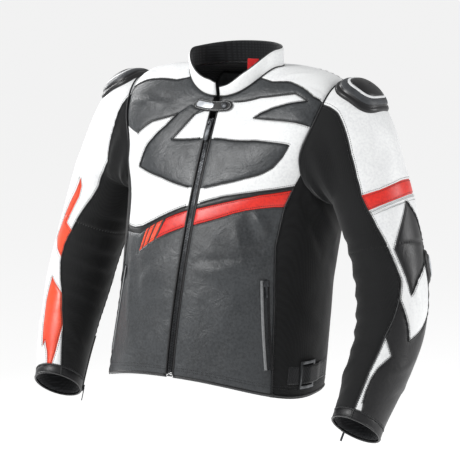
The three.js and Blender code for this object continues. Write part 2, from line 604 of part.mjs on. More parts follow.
// The head starts at the armhole seam, and a little below it where the arm meets the side.
function sleeveHead() {
  const start = (turn) => HEAD_START + SLEEVE_HEAD * ARMPIT_START * smooth((-Math.cos(turn * DEG) - 0.2) / 0.8);
  const end = SLEEVE_HEAD - SEAM / 2 / (SLEEVE_LENGTH / (1 - SLEEVE_HEAD));
  return slab(sleeve, (a, b) => [360 * a, lerp(start(360 * a), end, b)], TURNS, 7, 0, LEATHER, true);
}
const PAD_DROP = 1.4;             // armour below the shell's inner face
// A pad whose facets follow the tube's, from one turn facet to another.
const sleevePad = (from, to, s0, s1, thickness) => slab(sleeve,
  (a, b) => [lerp(from, to, a) * 360 / TURNS, lerp(s0, s1, b)], to - from, 5,
  -PAD_DROP - thickness, -PAD_DROP);
const ovalOutline = (du, dv) => (angle) => [
  du * signedPower(Math.cos(angle), 0.7), dv * signedPower(Math.sin(angle), 0.7)];
function sleeveCup(centre, du, dv, rim, crown) {
  const seat = LEATHER + 0.8;
  return cap(sleeve, centre, ovalOutline(du, dv), 20, 3, seat, (r) => seat + rim + crown * (1 - r ** 3));
}
// Chart half extents of a flat disc of the given radius.
function discOutline(surface, [p, q], radius) {
  const perP = surface(p + 0.5, q).distanceTo(surface(p - 0.5, q));
  const perQ = surface(p, q + 0.005).distanceTo(surface(p, q - 0.005)) * 100;
  return (angle) => [radius * Math.cos(angle) / perP, radius * Math.sin(angle) / perQ];
}

// ---------------------------------------------------------------- tab, strap, loop, collar
const TAB = { from: -17, to: 15, low: 0.893, high: 0.958, lift: 2.2 };
const TAB_SNAP = [8, 0.926];
function collarTab() {
  const under = (a) => LEATHER + 0.4 + TAB.lift * smooth(a * 3);
  return slab(torso, (a, b) => [lerp(TAB.from, TAB.to, a), lerp(TAB.low, TAB.high, b)], 10, 2,
    (a) => under(a), (a) => under(a) + TAB_THICKNESS);
}
const TAB_UNDERSIDE = LEATHER + 0.4 + TAB.lift;
const snap = (radius, from, to) => cap(torso, TAB_SNAP, discOutline(torso, TAB_SNAP, radius), 12, 2,
  from, (r) => to - 0.8 * r * r);

const STRAP = { from: 66, to: 104, low: 0.031, high: 0.069 };
const RING = { from: 75, to: 87, low: 0.021, high: 0.079, barGirth: 1.2, barHeight: 0.006 };
const RING_SEAT = LEATHER + 0.4 + STRAP_THICKNESS + 0.4;
const RING_THICK = 1.8;
function waistStrap() {
  const overBar = RING_SEAT + RING_THICK + 0.4;
  const under = (a) => {
    const u = lerp(STRAP.from, STRAP.to, a);
    const rise = Math.min(smooth((u - 77.5) / 6), 1 - smooth((u - 88.5) / 5));
    return lerp(LEATHER + 0.4, overBar, rise);
  };
  return slab(torso, (a, b) => [lerp(STRAP.from, STRAP.to, a), lerp(STRAP.low, STRAP.high, b)], 24, 1,
    under, (a) => under(a) + STRAP_THICKNESS);
}
function waistRing() {
  const us = [RING.from, RING.from + RING.barGirth, ...steps(RING.from + RING.barGirth,
    RING.to - RING.barGirth, 4).slice(1), RING.to];
  const vs = [RING.low, RING.low + RING.barHeight, 0.05, RING.high - RING.barHeight, RING.high];
  const inWindow = (u, v) => u > us[1] && u < us[us.length - 2] && v > vs[1] && v < vs[3];
  return cutSheet(torso, us, vs, (u, v) => !inWindow(u, v), (u, v) => [u, v],
    () => RING_SEAT, () => RING_SEAT + RING_THICK);
}
const COLLAR_THICK = 2.4;
const COLLAR_OPENING = 3.6;      // centre front to the collar's front edge
function collarBand(h0, inner, outer) {
  const edge = girthAt(COLLAR_OPENING, 1);
  return slab(collar, (a, b) => [lerp(edge, 360 - edge, a), lerp(h0, 1, b)], 32, 2, inner, outer);
}
function hangLoop() {
  const seam = torso(180, 1);
  const y = seam.y - LINING_SEWN - LINING - 1;
  const outline = outlineShape(rectangle(y - 5, y, seam.z - 46, seam.z + 6),
    rectangle(y - 3.8, y - 1.2, seam.z - 44.8, seam.z + 4.8));
  return extruded(outline, HANG_LOOP_WIDTH, vec(0, 0, 0), vec(0, 1, 0), vec(0, 0, 1));
}
const backProtector = () => {
  const face = -(LINING_DROP + LINING + 1.5);
  return slab(torso, (a, b) => [lerp(150, 210, a), lerp(0.42, 0.84, b)], 7, 8, face - PROTECTOR, face);
};

// ---------------------------------------------------------------- assembly
const finish = (color, roughness, metalness = 0) => new THREE.MeshStandardMaterial({ color, roughness, metalness });
const FINISH = {
  charcoal: finish(0x4a4d50, 0.5),
  white: finish(0xe9eaeb, 0.45),
  black: finish(0x17181a, 0.55),
  stretch: finish(0x1b1c1e, 0.85),
  lining: finish(0x232426, 0.9),
  foam: finish(0x2c2d30, 0.95),
  shell: finish(0x202123, 0.35),
  metal: finish(0x3b3d40, 0.35, 0.9),
  red: finish(0xd8151d, 0.6),
};
const jacket = new THREE.Group();
function add(name, geometry, material) {
  const mesh = new THREE.Mesh(geometry, FINISH[material]);
  mesh.name = name;
  jacket.add(mesh);
}
function addPair(name, geometry, material) {
  add(`${name}_left`, geometry, material);
  add(`${name}_right`, mirrored(geometry), material);
}

const shell = torsoPanels();
addPair('lower_front', shell.lower_front, 'charcoal');
addPair('chest_panel', shell.chest_panel, 'charcoal');
addPair('yoke', shell.yoke, 'white');
addPair('side_panel', shell.side_panel, 'stretch');
add('back_panel', shell.back_panel, 'black');
add('lumbar_panel', shell.lumbar_panel, 'stretch');
add('torso_lining', torsoLining(), 'lining');
add('collar', collarBand(0.1, 0, COLLAR_THICK), 'white');
add('collar_lining', collarBand(0, -LINING_SEWN + 0.1 - LINING, -LINING_SEWN + 0.1), 'lining');
add('back_protector', backProtector(), 'foam');
add('hang_loop', hangLoop(), 'red');

const teeth = ribbon(frontRun, ZIP_GAP, ZIP_CHAIN, 0, 1, ZIP_ROWS, CHAIN_BACK, CHAIN_FACE);
addPair('front_zip_teeth', teeth, 'metal');
addPair('front_zip_tape', frontTape(), 'black');
add('front_zip_slider', frontSlider(), 'metal');
add('front_zip_puller', frontPuller(), 'metal');
add('front_zip_stop', frontStop(), 'metal');
add('wind_flap', windFlap(), 'black');

add('collar_tab', collarTab(), 'black');
add('collar_tab_snap', snap(SNAP_RADIUS, TAB_UNDERSIDE + TAB_THICKNESS + RUN, TAB_UNDERSIDE + TAB_THICKNESS + 2.2), 'metal');
add('collar_tab_stud', snap(SNAP_RADIUS - 1.5, LEATHER + RUN, TAB_UNDERSIDE - RUN), 'metal');

addPair('pocket_zip', zipStrip(pocketRun, POCKET_ZIP_HALF, 12), 'black');
addPair('pocket_slider', smallSlider(pocketRun, restNear(pocketRun, true), 1), 'metal');
addPair('waist_strap', waistStrap(), 'black');
addPair('waist_ring', waistRing(), 'metal');
add('connecting_zip', zipStrip(connectingRun, POCKET_ZIP_HALF, 13), 'black');
add('connecting_slider', smallSlider(connectingRun, restNear(connectingRun, false), -1), 'metal');

addPair('sleeve_head', sleeveHead(), 'white');
addPair('upper_sleeve', sleeveTube(SLEEVE_HEAD, UPPER_END, 5, 0, LEATHER), 'white');
addPair('elbow_bellows', sleeveTube(UPPER_END, BELLOWS_END, 3, 0, LEATHER), 'stretch');
addPair('forearm', sleeveTube(BELLOWS_END, FOREARM_END, 5, 0, LEATHER), 'black');
addPair('cuff', sleeveTube(FOREARM_END, 1, 2, 0, LEATHER), 'black');
addPair('sleeve_lining', sleeveTube(SLEEVE_HEAD, UPPER_END, 5, -LINING_SEWN - LINING, -LINING_SEWN), 'lining');
addPair('shoulder_cup', sleeveCup([-6, 0.08], 30, 0.07, 3, 8), 'shell');
addPair('shoulder_armour', sleevePad(-3, 3, 0.05, 0.25, LIMB_ARMOUR), 'foam');
addPair('elbow_cup', sleeveCup([325, 0.55], 22, 0.033, 2, 5), 'shell');
addPair('elbow_armour', sleevePad(13, 18, 0.69, 0.87, LIMB_ARMOUR), 'foam');
addPair('cuff_zip', zipStrip(cuffRun, CUFF_ZIP_HALF, 10), 'black');
addPair('cuff_zip_slider', smallSlider(cuffRun, restNear(cuffRun, false), 1), 'metal');

// Joint axes in this frame, for whoever drives the assembly.
const tabHinge = [TAB.from, (TAB.low + TAB.high) / 2];
const strapHinge = [STRAP.from, (STRAP.low + STRAP.high) / 2];
const upTorso = ([u, v]) => torso(u, v + 0.02).sub(torso(u, v - 0.02)).normalize();
const elbow = armAt((lerp(UPPER_END, BELLOWS_END, 0.5) - SLEEVE_HEAD) / (1 - SLEEVE_HEAD));
jacket.userData.axes = {
  front_zip: { at: frontRun.centre, along: frontRun.axis, travel: frontRun.length },
  puller: { at: offsetPoint(frontRun.surface, 0, FRONT_REST, PULLER_AXIS), along: frontRun.across },
  collar_tab: { at: offsetPoint(torso, ...tabHinge, LEATHER + 0.4 + TAB_THICKNESS / 2), along: upTorso(tabHinge) },
  waist_strap: { at: offsetPoint(torso, ...strapHinge, LEATHER + 0.4 + STRAP_THICKNESS / 2), along: upTorso(strapHinge) },
  pocket: { at: pocketRun.centre, along: pocketRun.axis, travel: pocketRun.length },
  cuff: { at: cuffRun.centre, along: cuffRun.axis, travel: cuffRun.length },
  connecting: { at: connectingRun.centre, along: connectingRun.axis, travel: connectingRun.length },
  shoulder: { at: SHOULDER, along: vec(1, 0, 0) },
  elbow: { at: elbow.centre, along: vec(1, 0, 0) },
};

export default jacket;
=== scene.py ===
"""A leather riding jacket with stretch panels, armour, shoulder and elbow cups and zips.

Everything is in metres. +X is the wearer's left, -Y the front, +Z up, with the origin in the neck opening.
The shell is drawn on two charts: torso(girth, height) and sleeve(turn, share of its length).
"""

import math

import bpy
import numpy as np
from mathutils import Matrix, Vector
from mathutils.geometry import delaunay_2d_cdt
from mathutils.kdtree import KDTree
from mathutils.noise import noise_vector


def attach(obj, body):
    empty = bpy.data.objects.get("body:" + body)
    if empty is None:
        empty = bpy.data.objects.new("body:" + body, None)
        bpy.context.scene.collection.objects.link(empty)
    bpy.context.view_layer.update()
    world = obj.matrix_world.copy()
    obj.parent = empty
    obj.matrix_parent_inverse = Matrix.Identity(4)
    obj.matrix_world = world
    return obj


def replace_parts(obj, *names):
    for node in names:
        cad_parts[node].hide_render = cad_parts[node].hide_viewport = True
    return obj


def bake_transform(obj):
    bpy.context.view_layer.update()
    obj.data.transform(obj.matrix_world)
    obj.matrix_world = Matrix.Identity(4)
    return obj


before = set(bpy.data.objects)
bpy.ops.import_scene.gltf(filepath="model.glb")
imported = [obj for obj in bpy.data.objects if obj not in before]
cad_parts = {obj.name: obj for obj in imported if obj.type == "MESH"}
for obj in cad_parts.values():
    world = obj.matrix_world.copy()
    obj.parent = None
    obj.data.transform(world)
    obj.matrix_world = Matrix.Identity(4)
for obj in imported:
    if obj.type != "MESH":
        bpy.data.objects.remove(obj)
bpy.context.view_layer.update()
MM = 0.001

# ---------------------------------------------------------------- the block, in millimetres
# Hem to neck: height at the side, front and back, half width, depth behind the centre, the centre's y.
STATIONS = [
    (-521, -482, -535, 187, 140, -68), (-436, -410, -440, 184, 139, -46), (-348, -335, -350, 182, 140, -26),
    (-262, -265, -262, 186, 146, -10), (-190, -205, -185, 192, 148, 2), (-105, -160, -115, 206, 140, 8),
    (-38, -122, -58, 214, 128, 10), (2, -88, -14, 178, 112, 10), (17, -56, 12, 126, 90, 6),
    (18, -28, 22, 79, 63, 0),
]
BODY_LENGTH = 521
FRONT_CENTRE = (1158.742, -713.411)      # y and z of the centre front arc's centre
FRONT_RADIUS = 1400
FULLNESS = 0.86                          # below 1 the rings are squarer than an ellipse
# Arm line from below the armpit to the cuff: x, y, z, half width sideways, half width front to back.
ARM = [
    (259, 1, -185, 63, 74), (275, -2, -228, 61, 70), (291, -8, -276, 58, 66), (307, -18, -336, 57, 62),
    (314, -36, -394, 55, 58), (312, -62, -444, 50, 53), (306, -88, -486, 46, 48), (300, -109, -523, 42, 44),
    (296, -126, -553, 41, 42),
]
SLEEVE_HEAD = 0.34                       # share of the sleeve between the armhole and the arm line
CUFF_SLANT = 8                           # how far the cuff edge is raised in front and lowered behind
LEATHER = 1.4                            # height of the leather's outer face over the chart
SPLIT = 0.5                              # where the upper and lower sleeve pieces meet


def through_rows(rows, t):
    """Catmull-Rom curve through rows of numbers, t from 0 to the last row's number."""
    rows = np.asarray(rows, float)
    last = len(rows) - 1
    t = np.clip(np.asarray(t, float), 0, last)
    i = np.minimum(t.astype(int), last - 1)
    f = (t - i)[..., None]
    ends = np.vstack([2 * rows[0] - rows[1], rows, 2 * rows[-1] - rows[-2]])
    a, b, c, d = (ends[i + k] for k in range(4))
    return 0.5 * (2 * b + (c - a) * f + (2 * a - 5 * b + 4 * c - d) * f**2 + (3 * b - a - 3 * c + d) * f**3)


def smooth(t):
    """From 0 to 1 with soft ends."""
    t = np.clip(t, 0, 1)
    return t * t * (3 - 2 * t)


def signed_power(x, p):
    return np.sign(x) * np.abs(x) ** p


def unit(v):
    return v / np.maximum(np.linalg.norm(v, axis=-1, keepdims=True), 1e-9)


def torso(u, v):
    """u in degrees from the centre front, 90 at the wearer's left; v from the hem 0 to the neck 1."""
    u, v = np.broadcast_arrays(np.radians(np.asarray(u, float)), np.asarray(v, float))
    rows = through_rows(STATIONS, v * (len(STATIONS) - 1))
    side, front, back, half, depth, centre = np.moveaxis(rows, -1, 0)
    c, s = np.cos(u), np.sin(u)
    front_y = FRONT_CENTRE[0] - np.sqrt(FRONT_RADIUS**2 - (front - FRONT_CENTRE[1]) ** 2)
    reach = np.where(c > 0, centre - front_y, depth)
    end = np.where(c > 0, front, back)
    x = half * signed_power(s, FULLNESS)
    y = centre - reach * signed_power(c, FULLNESS)
    return np.stack([x, y, side + (end - side) * c * c], -1) * MM


def girth_at(x, v):
    """Degrees round from the centre front to a point x millimetres sideways at height v."""
    half = through_rows(STATIONS, np.asarray(v) * (len(STATIONS) - 1))[..., 3]
    return np.degrees(np.arcsin(np.abs(x / half) ** (1 / FULLNESS)))


def armhole(turn):
    """Torso chart point of the armhole seam: 0 is the top, 90 the front, 180 the armpit."""
    t = np.radians(turn)
    return 90 - 40 * np.sin(t), 0.59 + 0.155 * np.cos(t)


def arm_at(t):
    """The arm line's row at t from 0 to 1, and its along, outward and forward directions."""
    row = through_rows(ARM, t * (len(ARM) - 1))
    ahead, behind = (through_rows(ARM, np.clip(t + e, 0, 1) * (len(ARM) - 1))[..., :3]
                     for e in (0.001, -0.001))
    along = unit(ahead - behind)
    outward = unit(np.array([1.0, 0, 0]) - along * along[..., :1])
    forward = np.cross(outward, along)
    forward = np.where(forward[..., 1:2] > 0, -forward, forward)
    return row, along, outward, forward


def sleeve_ring(turn, t):
    """A point round the arm line, in millimetres."""
    row, along, outward, forward = arm_at(t)
    c, s = np.cos(np.radians(turn))[..., None], np.sin(np.radians(turn))[..., None]
    slant = -CUFF_SLANT * s * smooth((t - 0.7) / 0.3)[..., None]
    return row[..., :3] + outward * row[..., 3:4] * c + forward * row[..., 4:5] * s + along * slant


def sleeve(turn, s):
    """The left sleeve: turn as on the armhole, s from the armhole 0 to the cuff edge 1."""
    turn, s = np.broadcast_arrays(np.asarray(turn, float), np.asarray(s, float))
    below = sleeve_ring(turn, np.clip((s - SLEEVE_HEAD) / (1 - SLEEVE_HEAD), 0, 1))
    start = torso(*armhole(turn)) / MM
    end = sleeve_ring(turn, np.zeros_like(turn))
    reach = np.linalg.norm(start - end, axis=-1, keepdims=True)
    lift = np.cos(np.radians(turn))[..., None]
    leave = np.array([1, 0, 0.25]) * (0.6 + 0.4 * lift) + np.array([0.25, 0, -1]) * (0.4 - 0.4 * lift)
    arrive = arm_at(np.zeros(1))[1] * reach
    f = np.clip(s / SLEEVE_HEAD, 0, 1)[..., None]
    head = (start * (2 * f**3 - 3 * f * f + 1) + unit(leave) * reach * 1.1 * (f**3 - 2 * f * f + f)
            + end * (-2 * f**3 + 3 * f * f) + arrive * (f**3 - f * f))
    return np.where(s[..., None] >= SLEEVE_HEAD, below, head) * MM


def right_sleeve(turn, s):
    return sleeve(turn, s) * np.array([-1, 1, 1])


# Each sleeve's side, its chart, and the sign that makes its normals face out.
SLEEVES = (("left", sleeve, 1), ("right", right_sleeve, -1))


def collar(u, h):
    """u as on the torso, h from the neck seam 0 to the top edge 1."""
    u, h = np.broadcast_arrays(np.asarray(u, float), np.asarray(h, float))
    c, s = np.cos(np.radians(u)), np.sin(np.radians(u))
    height = (31 - 5 * c) * h
    lean = np.stack([0.02 * s * height, (-0.1 - 0.06 * c) * height, height], -1)
    return torso(u, np.ones_like(h)) + lean * MM


def normals(surface, p, q, outward=1):
    """Unit normals of a chart's surface; outward -1 turns them over."""
    across = surface(p + 0.3, q) - surface(p - 0.3, q)
    up = surface(p, q + 0.003) - surface(p, q - 0.003)
    return unit(np.cross(across, up)) * outward


def lifted(surface, p, q, lift, outward=1):
    """Chart points carried to a height in millimetres above the surface."""
    p, q = np.asarray(p, float), np.asarray(q, float)
    height = np.asarray(lift, float)
    rise = (height[..., None] if height.ndim else height) * MM
    return surface(p, q) + normals(surface, p, q, outward) * rise


# ---------------------------------------------------------------- finishes
def node_maker(tree):
    """A helper that adds a node to a tree, with its inputs linked or set."""
    def node(kind, inputs=(), **settings):
        made = tree.nodes.new(kind)
        for key, value in settings.items():
            setattr(made, key, value)
        for key, value in dict(inputs).items():
            if isinstance(value, bpy.types.NodeSocket):
                tree.links.new(value, made.inputs[key])
            else:
                made.inputs[key].default_value = value
        return made
    return node


def finish_of(name, colour, roughness, **shader):
    """A new material, its shader, its node helper, the point being shaded, and its links."""
    mat = bpy.data.materials.new(name)
    mat.use_nodes = True
    bsdf = mat.node_tree.nodes["Principled BSDF"]
    bsdf.inputs["Base Color"].default_value = (*colour, 1)
    bsdf.inputs["Roughness"].default_value = roughness
    for key, value in shader.items():
        bsdf.inputs[key.replace("_", " ")].default_value = value
    node = node_maker(mat.node_tree)
    place = node("ShaderNodeTexCoord").outputs["Object"]
    return mat, bsdf, node, place, mat.node_tree.links


def ramp(node, factor, low, high, start, end):
    """A colour going from low to high as the factor goes from start to end."""
    made = node("ShaderNodeValToRGB", {"Fac": factor})
    made.color_ramp.elements[0].position = start
    made.color_ramp.elements[1].position = end
    made.color_ramp.elements[0].color = (*low, 1)
    made.color_ramp.elements[1].color = (*high, 1)
    return made.outputs["Color"]


def ranged(node, value, low, high):
    return node("ShaderNodeMapRange", {"Value": value, "From Min": 0.3, "From Max": 0.7, "To Min": low,
                                       "To Max": high}).outputs["Result"]


def leather(name, colour, shade, roughness, grain=0.35, crease=0.35):
    """Dyed hide: pebbled grain, fine broken creases, and a cloudy colour with rubbed high spots."""
    mat, bsdf, node, place, links = finish_of(name, colour, roughness)
    cloud = node("ShaderNodeTexNoise",
                 {"Vector": place, "Scale": 9.0, "Detail": 5.0, "Roughness": 0.6}).outputs["Fac"]
    fleck = node("ShaderNodeTexNoise", {"Vector": place, "Scale": 260.0, "Detail": 3.0}).outputs["Fac"]
    pebble = node("ShaderNodeTexVoronoi", {"Vector": place, "Scale": 620.0}, feature="DISTANCE_TO_EDGE")
    broken = node("ShaderNodeTexNoise", {"Vector": place, "Scale": 34.0, "Detail": 6.0, "Roughness": 0.65,
                                         "Distortion": 1.4}).outputs["Fac"]
    mixed = node("ShaderNodeMath", {0: cloud, 1: fleck}, operation="ADD").outputs[0]
    halved = node("ShaderNodeMath", {0: mixed, 1: 0.5}, operation="MULTIPLY").outputs[0]
    links.new(ramp(node, halved, shade, colour, 0.36, 0.56), bsdf.inputs["Base Color"])
    links.new(ranged(node, cloud, roughness + 0.1, roughness - 0.08), bsdf.inputs["Roughness"])
    fold = node("ShaderNodeBump", {"Height": broken, "Strength": crease,
                                   "Distance": 0.0016}).outputs["Normal"]
    skin = node("ShaderNodeBump", {"Height": pebble.outputs["Distance"], "Strength": grain,
                                   "Distance": 0.0003, "Normal": fold}).outputs["Normal"]
    links.new(skin, bsdf.inputs["Normal"])
    return mat


def knitted(name, colour, shade, roughness, rib=900.0, strength=0.5, sheen=0.25):
    """Stretch cloth or lining mesh: crossed fine ribs with a soft nap."""
    mat, bsdf, node, place, links = finish_of(name, colour, roughness, Sheen_Weight=sheen,
                                              Sheen_Roughness=0.45, Specular_IOR_Level=0.25)
    rows = node("ShaderNodeTexWave", {"Vector": place, "Scale": rib / 6.3, "Distortion": 0.6, "Detail": 1.0},
                bands_direction="Z").outputs["Fac"]
    turned = node("ShaderNodeMapping", {"Vector": place, "Rotation": (0.0, 0.0, 0.7)}).outputs["Vector"]
    wales = node("ShaderNodeTexWave",
                 {"Vector": turned, "Scale": rib / 6.3, "Distortion": 0.6, "Detail": 1.0},
                 bands_direction="X").outputs["Fac"]
    loop = node("ShaderNodeMath", {0: rows, 1: wales}, operation="MULTIPLY").outputs[0]
    cloud = node("ShaderNodeTexNoise", {"Vector": place, "Scale": 22.0, "Detail": 4.0}).outputs["Fac"]
    tone = node("ShaderNodeMath", {0: loop, 1: cloud}, operation="ADD").outputs[0]
    links.new(ramp(node, tone, shade, colour, 0.35, 1.1), bsdf.inputs["Base Color"])
    ease = node("ShaderNodeBump", {"Height": cloud, "Strength": 0.25, "Distance": 0.002}).outputs["Normal"]
    weave = node("ShaderNodeBump", {"Height": loop, "Strength": strength, "Distance": 0.0004, "Normal": ease})
    links.new(weave.outputs["Normal"], bsdf.inputs["Normal"])
    return mat


def moulded(name, colour, shade, roughness, metallic=0.0, grain=0.2, scale=900.0):
    """Moulded plastic, foam or cast metal: fine texture and scuffed, duller patches."""
    mat, bsdf, node, place, links = finish_of(name, colour, roughness, Metallic=metallic)
    scuff = node("ShaderNodeTexNoise",
                 {"Vector": place, "Scale": 70.0, "Detail": 6.0, "Roughness": 0.7}).outputs["Fac"]
    fine = node("ShaderNodeTexNoise", {"Vector": place, "Scale": scale, "Detail": 2.0}).outputs["Fac"]
    links.new(ramp(node, scuff, shade, colour, 0.38, 0.58), bsdf.inputs["Base Color"])
    links.new(ranged(node, scuff, roughness + 0.15, roughness - 0.06), bsdf.inputs["Roughness"])
    skin = node("ShaderNodeBump", {"Height": fine, "Strength": grain, "Distance": 0.0002})
    links.new(skin.outputs["Normal"], bsdf.inputs["Normal"])
    return mat


CHARCOAL = leather("charcoal_leather", (0.046, 0.050, 0.054), (0.020, 0.022, 0.024), 0.38, crease=0.8)
WHITE = leather("white_leather", (0.86, 0.87, 0.87), (0.74, 0.75, 0.76), 0.40, grain=0.25, crease=0.25)
BLACK = leather("black_leather", (0.010, 0.010, 0.011), (0.005, 0.005, 0.006), 0.40, crease=0.5)
RED = leather("red_leather", (0.80, 0.030, 0.018), (0.62, 0.018, 0.014), 0.34, grain=0.25, crease=0.25)
# Painted highlight: a lit, orange-red copy of the red leather, used on red parts where the key light falls.
LIT_RED = leather("lit_red_leather", (0.90, 0.085, 0.030), (0.78, 0.055, 0.022), 0.38, grain=0.25, crease=0.25)
PIPING = leather("piping", (0.014, 0.015, 0.016), (0.008, 0.008, 0.009), 0.45, crease=0.1)
STRETCH = knitted("stretch_fabric", (0.008, 0.0085, 0.009), (0.004, 0.004, 0.0045), 0.8, sheen=0.18)
RIBBED = knitted("ribbed_stretch", (0.018, 0.019, 0.021), (0.007, 0.007, 0.008), 0.8, rib=500.0)
LINING = knitted("lining_mesh", (0.016, 0.017, 0.019), (0.004, 0.004, 0.005), 0.85, rib=420.0, strength=0.9)
FOAM = moulded("armour_foam", (0.030, 0.031, 0.034), (0.018, 0.019, 0.021), 0.85, grain=0.6, scale=500.0)
THREAD = knitted("thread", (0.020, 0.021, 0.023), (0.010, 0.010, 0.011), 0.6, rib=3000.0)
PALE_THREAD = knitted("pale_thread", (0.60, 0.61, 0.62), (0.45, 0.46, 0.47), 0.6, rib=3000.0)
WEBBING = knitted("red_webbing", (0.72, 0.012, 0.014), (0.42, 0.006, 0.008), 0.6, rib=1400.0, strength=0.8)
STRAP = knitted("strap_webbing", (0.020, 0.021, 0.023), (0.008, 0.008, 0.009), 0.6, rib=1400.0, strength=0.8)
TAPE = knitted("zip_tape", (0.012, 0.012, 0.013), (0.005, 0.005, 0.006), 0.7, rib=1800.0)
METAL = moulded("zip_metal", (0.075, 0.078, 0.083), (0.035, 0.037, 0.040), 0.34, metallic=0.85)
STEEL = moulded("buckle_metal", (0.20, 0.205, 0.215), (0.10, 0.105, 0.11), 0.32, metallic=0.9)
TAB_RUBBER = moulded("tab_rubber", (0.004, 0.004, 0.0045), (0.002, 0.002, 0.0022), 0.55)
SHELL = moulded("moulded_shell", (0.010, 0.010, 0.011), (0.006, 0.006, 0.007), 0.34)
RING_GREY = moulded("moulded_grey", (0.050, 0.054, 0.060), (0.032, 0.034, 0.038), 0.42)
WELT = leather("welt_leather", (0.23, 0.235, 0.24), (0.16, 0.165, 0.17), 0.42)
WHITE_LINE = moulded("moulded_white", (0.80, 0.81, 0.82), (0.66, 0.67, 0.68), 0.4)
SILVER = moulded("silver_plate", (0.55, 0.57, 0.60), (0.40, 0.42, 0.45), 0.36, metallic=0.35)


# ---------------------------------------------------------------- what a piece rides on
# The upper sleeve runs from the shoulder and the lower sleeve from the elbow; both parts are only baked in
# place and ride on no body, so neither turns nor bends.
def carried(obj, rides):
    """rides is a body's name, or ("upper" | "lower", "left" | "right") for the two parts of a sleeve."""
    if isinstance(rides, str):
        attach(obj, rides)
        return obj
    part, side = rides
    if part == "upper":
        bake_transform(obj)
    else:
        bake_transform(obj)
    return obj


def piece(name, points, faces, mat, rides):
    """A new smooth-shaded mesh, given its finish and the body it rides on."""
    mesh = bpy.data.meshes.new(name)
    mesh.from_pydata(np.asarray(points).tolist(), [], [tuple(int(k) for k in f) for f in faces])
    mesh.materials.append(mat)
    mesh.polygons.foreach_set("use_smooth", [True] * len(mesh.polygons))
    mesh.validate()
    obj = bpy.data.objects.new(name, mesh)
    bpy.context.scene.collection.objects.link(obj)
    return settled(obj, rides)


def baked(obj):
    """Turns a piece's modifiers into plain mesh."""
    graph = bpy.context.evaluated_depsgraph_get()
    graph.update()
    mesh = bpy.data.meshes.new_from_object(obj.evaluated_get(graph), depsgraph=graph)
    obj.modifiers.clear()
    old = obj.data
    obj.data = mesh
    bpy.data.meshes.remove(old)
    return obj


def settled(obj, rides):
    """Gives a piece its body, unless rides is None."""
    if rides is not None:
        carried(obj, rides)
    return obj


def outward_faces(points, faces):
    """Turns a closed shape's faces outwards."""
    p = np.asarray(points)
    volume = 0.0
    for f in faces:
        for k in range(1, len(f) - 1):
            volume += np.dot(p[f[0]], np.cross(p[f[k]], p[f[k + 1]]))
    return [tuple(reversed(f)) for f in faces] if volume < 0 else faces


def slab(name, surface, chart, columns, rows, inner, outer, mat, rides, wrapped=False, outward=1):
    """A closed slab between two heights over a chart grid; chart(a, b) and the heights take arrays."""
    across = columns if wrapped else columns + 1
    a, b = np.meshgrid(np.arange(across) / columns, np.arange(rows + 1) / rows)
    p, q = chart(a, b)
    p, q = np.broadcast_arrays(p, q)
    heights = [h(a, b) if callable(h) else np.full_like(a, h) for h in (outer, inner)]
    points = np.concatenate([lifted(surface, p, q, h, outward).reshape(-1, 3) for h in heights])
    layer = across * (rows + 1)
    at = lambda i, j, k: k * layer + j * across + i % across
    faces = []
    for i in range(columns):
        for j in range(rows):
            faces.append((at(i, j, 0), at(i + 1, j, 0), at(i + 1, j + 1, 0), at(i, j + 1, 0)))
            faces.append((at(i, j, 1), at(i, j + 1, 1), at(i + 1, j + 1, 1), at(i + 1, j, 1)))
        faces.append((at(i, 0, 1), at(i + 1, 0, 1), at(i + 1, 0, 0), at(i, 0, 0)))
        faces.append((at(i, rows, 0), at(i + 1, rows, 0), at(i + 1, rows, 1), at(i, rows, 1)))
    for j in range(0 if wrapped else rows):
        faces.append((at(0, j, 1), at(0, j, 0), at(0, j + 1, 0), at(0, j + 1, 1)))
        faces.append((at(columns, j, 0), at(columns, j, 1), at(columns, j + 1, 1), at(columns, j + 1, 0)))
    return piece(name, points, outward_faces(points, faces), mat, rides)


def swept(name, line, out, section, mat, rides, closed=False):
    """A section, in millimetres sideways and outwards, carried along a line that faces the way of out."""
    line, out = np.asarray(line, float), unit(np.asarray(out, float))
    along = unit(np.roll(line, -1, 0) - np.roll(line, 1, 0)) if closed else unit(np.gradient(line, axis=0))
    side = unit(np.cross(along, out))
    rise = np.cross(side, along)
    section = np.asarray(section, float) * MM
    points = line[:, None] + side[:, None] * section[None, :, :1] + rise[:, None] * section[None, :, 1:]
    points = points.reshape(-1, 3)
    count, sides = len(line), len(section)
    faces = []
    for i in range(count if closed else count - 1):
        n = (i + 1) % count
        for k in range(sides):
            m = (k + 1) % sides
            faces.append((i * sides + k, i * sides + m, n * sides + m, n * sides + k))
    if not closed:
        faces += [tuple(reversed(range(sides))), tuple(range((count - 1) * sides, count * sides))]
    return piece(name, points, outward_faces(points, faces), mat, rides)


def round_section(radius, flat=1.0, sides=8):
    """An oval section in millimetres; flat scales its height."""
    turn = np.arange(sides) / sides * 2 * math.pi
    return np.stack([radius * np.cos(turn), radius * flat * np.sin(turn)], -1)


def strip_section(x0, x1, y0, y1):
    """A flat strip with eased long edges."""
    e = min(0.35, (y1 - y0) * 0.4)
    return [(x0 + e, y0), (x1 - e, y0), (x1, y0 + e), (x1, y1 - e), (x1 - e, y1), (x0 + e, y1), (x0, y1 - e),
            (x0, y0 + e)]


# ---------------------------------------------------------------- lines on a chart
TORSO_SCALE = np.array([3.3, BODY_LENGTH])       # chart to millimetres, near enough to share out points
SLEEVE_SCALE = np.array([1.05, 614.0])


def shared_out(line, scale, step, closed=False):
    """Points along a chart line, a step apart in millimetres, keeping its corners."""
    line = np.asarray(line, float)
    ends = np.vstack([line, line[:1]]) if closed else line
    points = []
    for a, b in zip(ends[:-1], ends[1:]):
        count = max(1, int(round(np.linalg.norm((b - a) * scale) / step)))
        points += [a + (b - a) * k / count for k in range(count)]
    if not closed:
        points.append(ends[-1])
    return np.array(points)


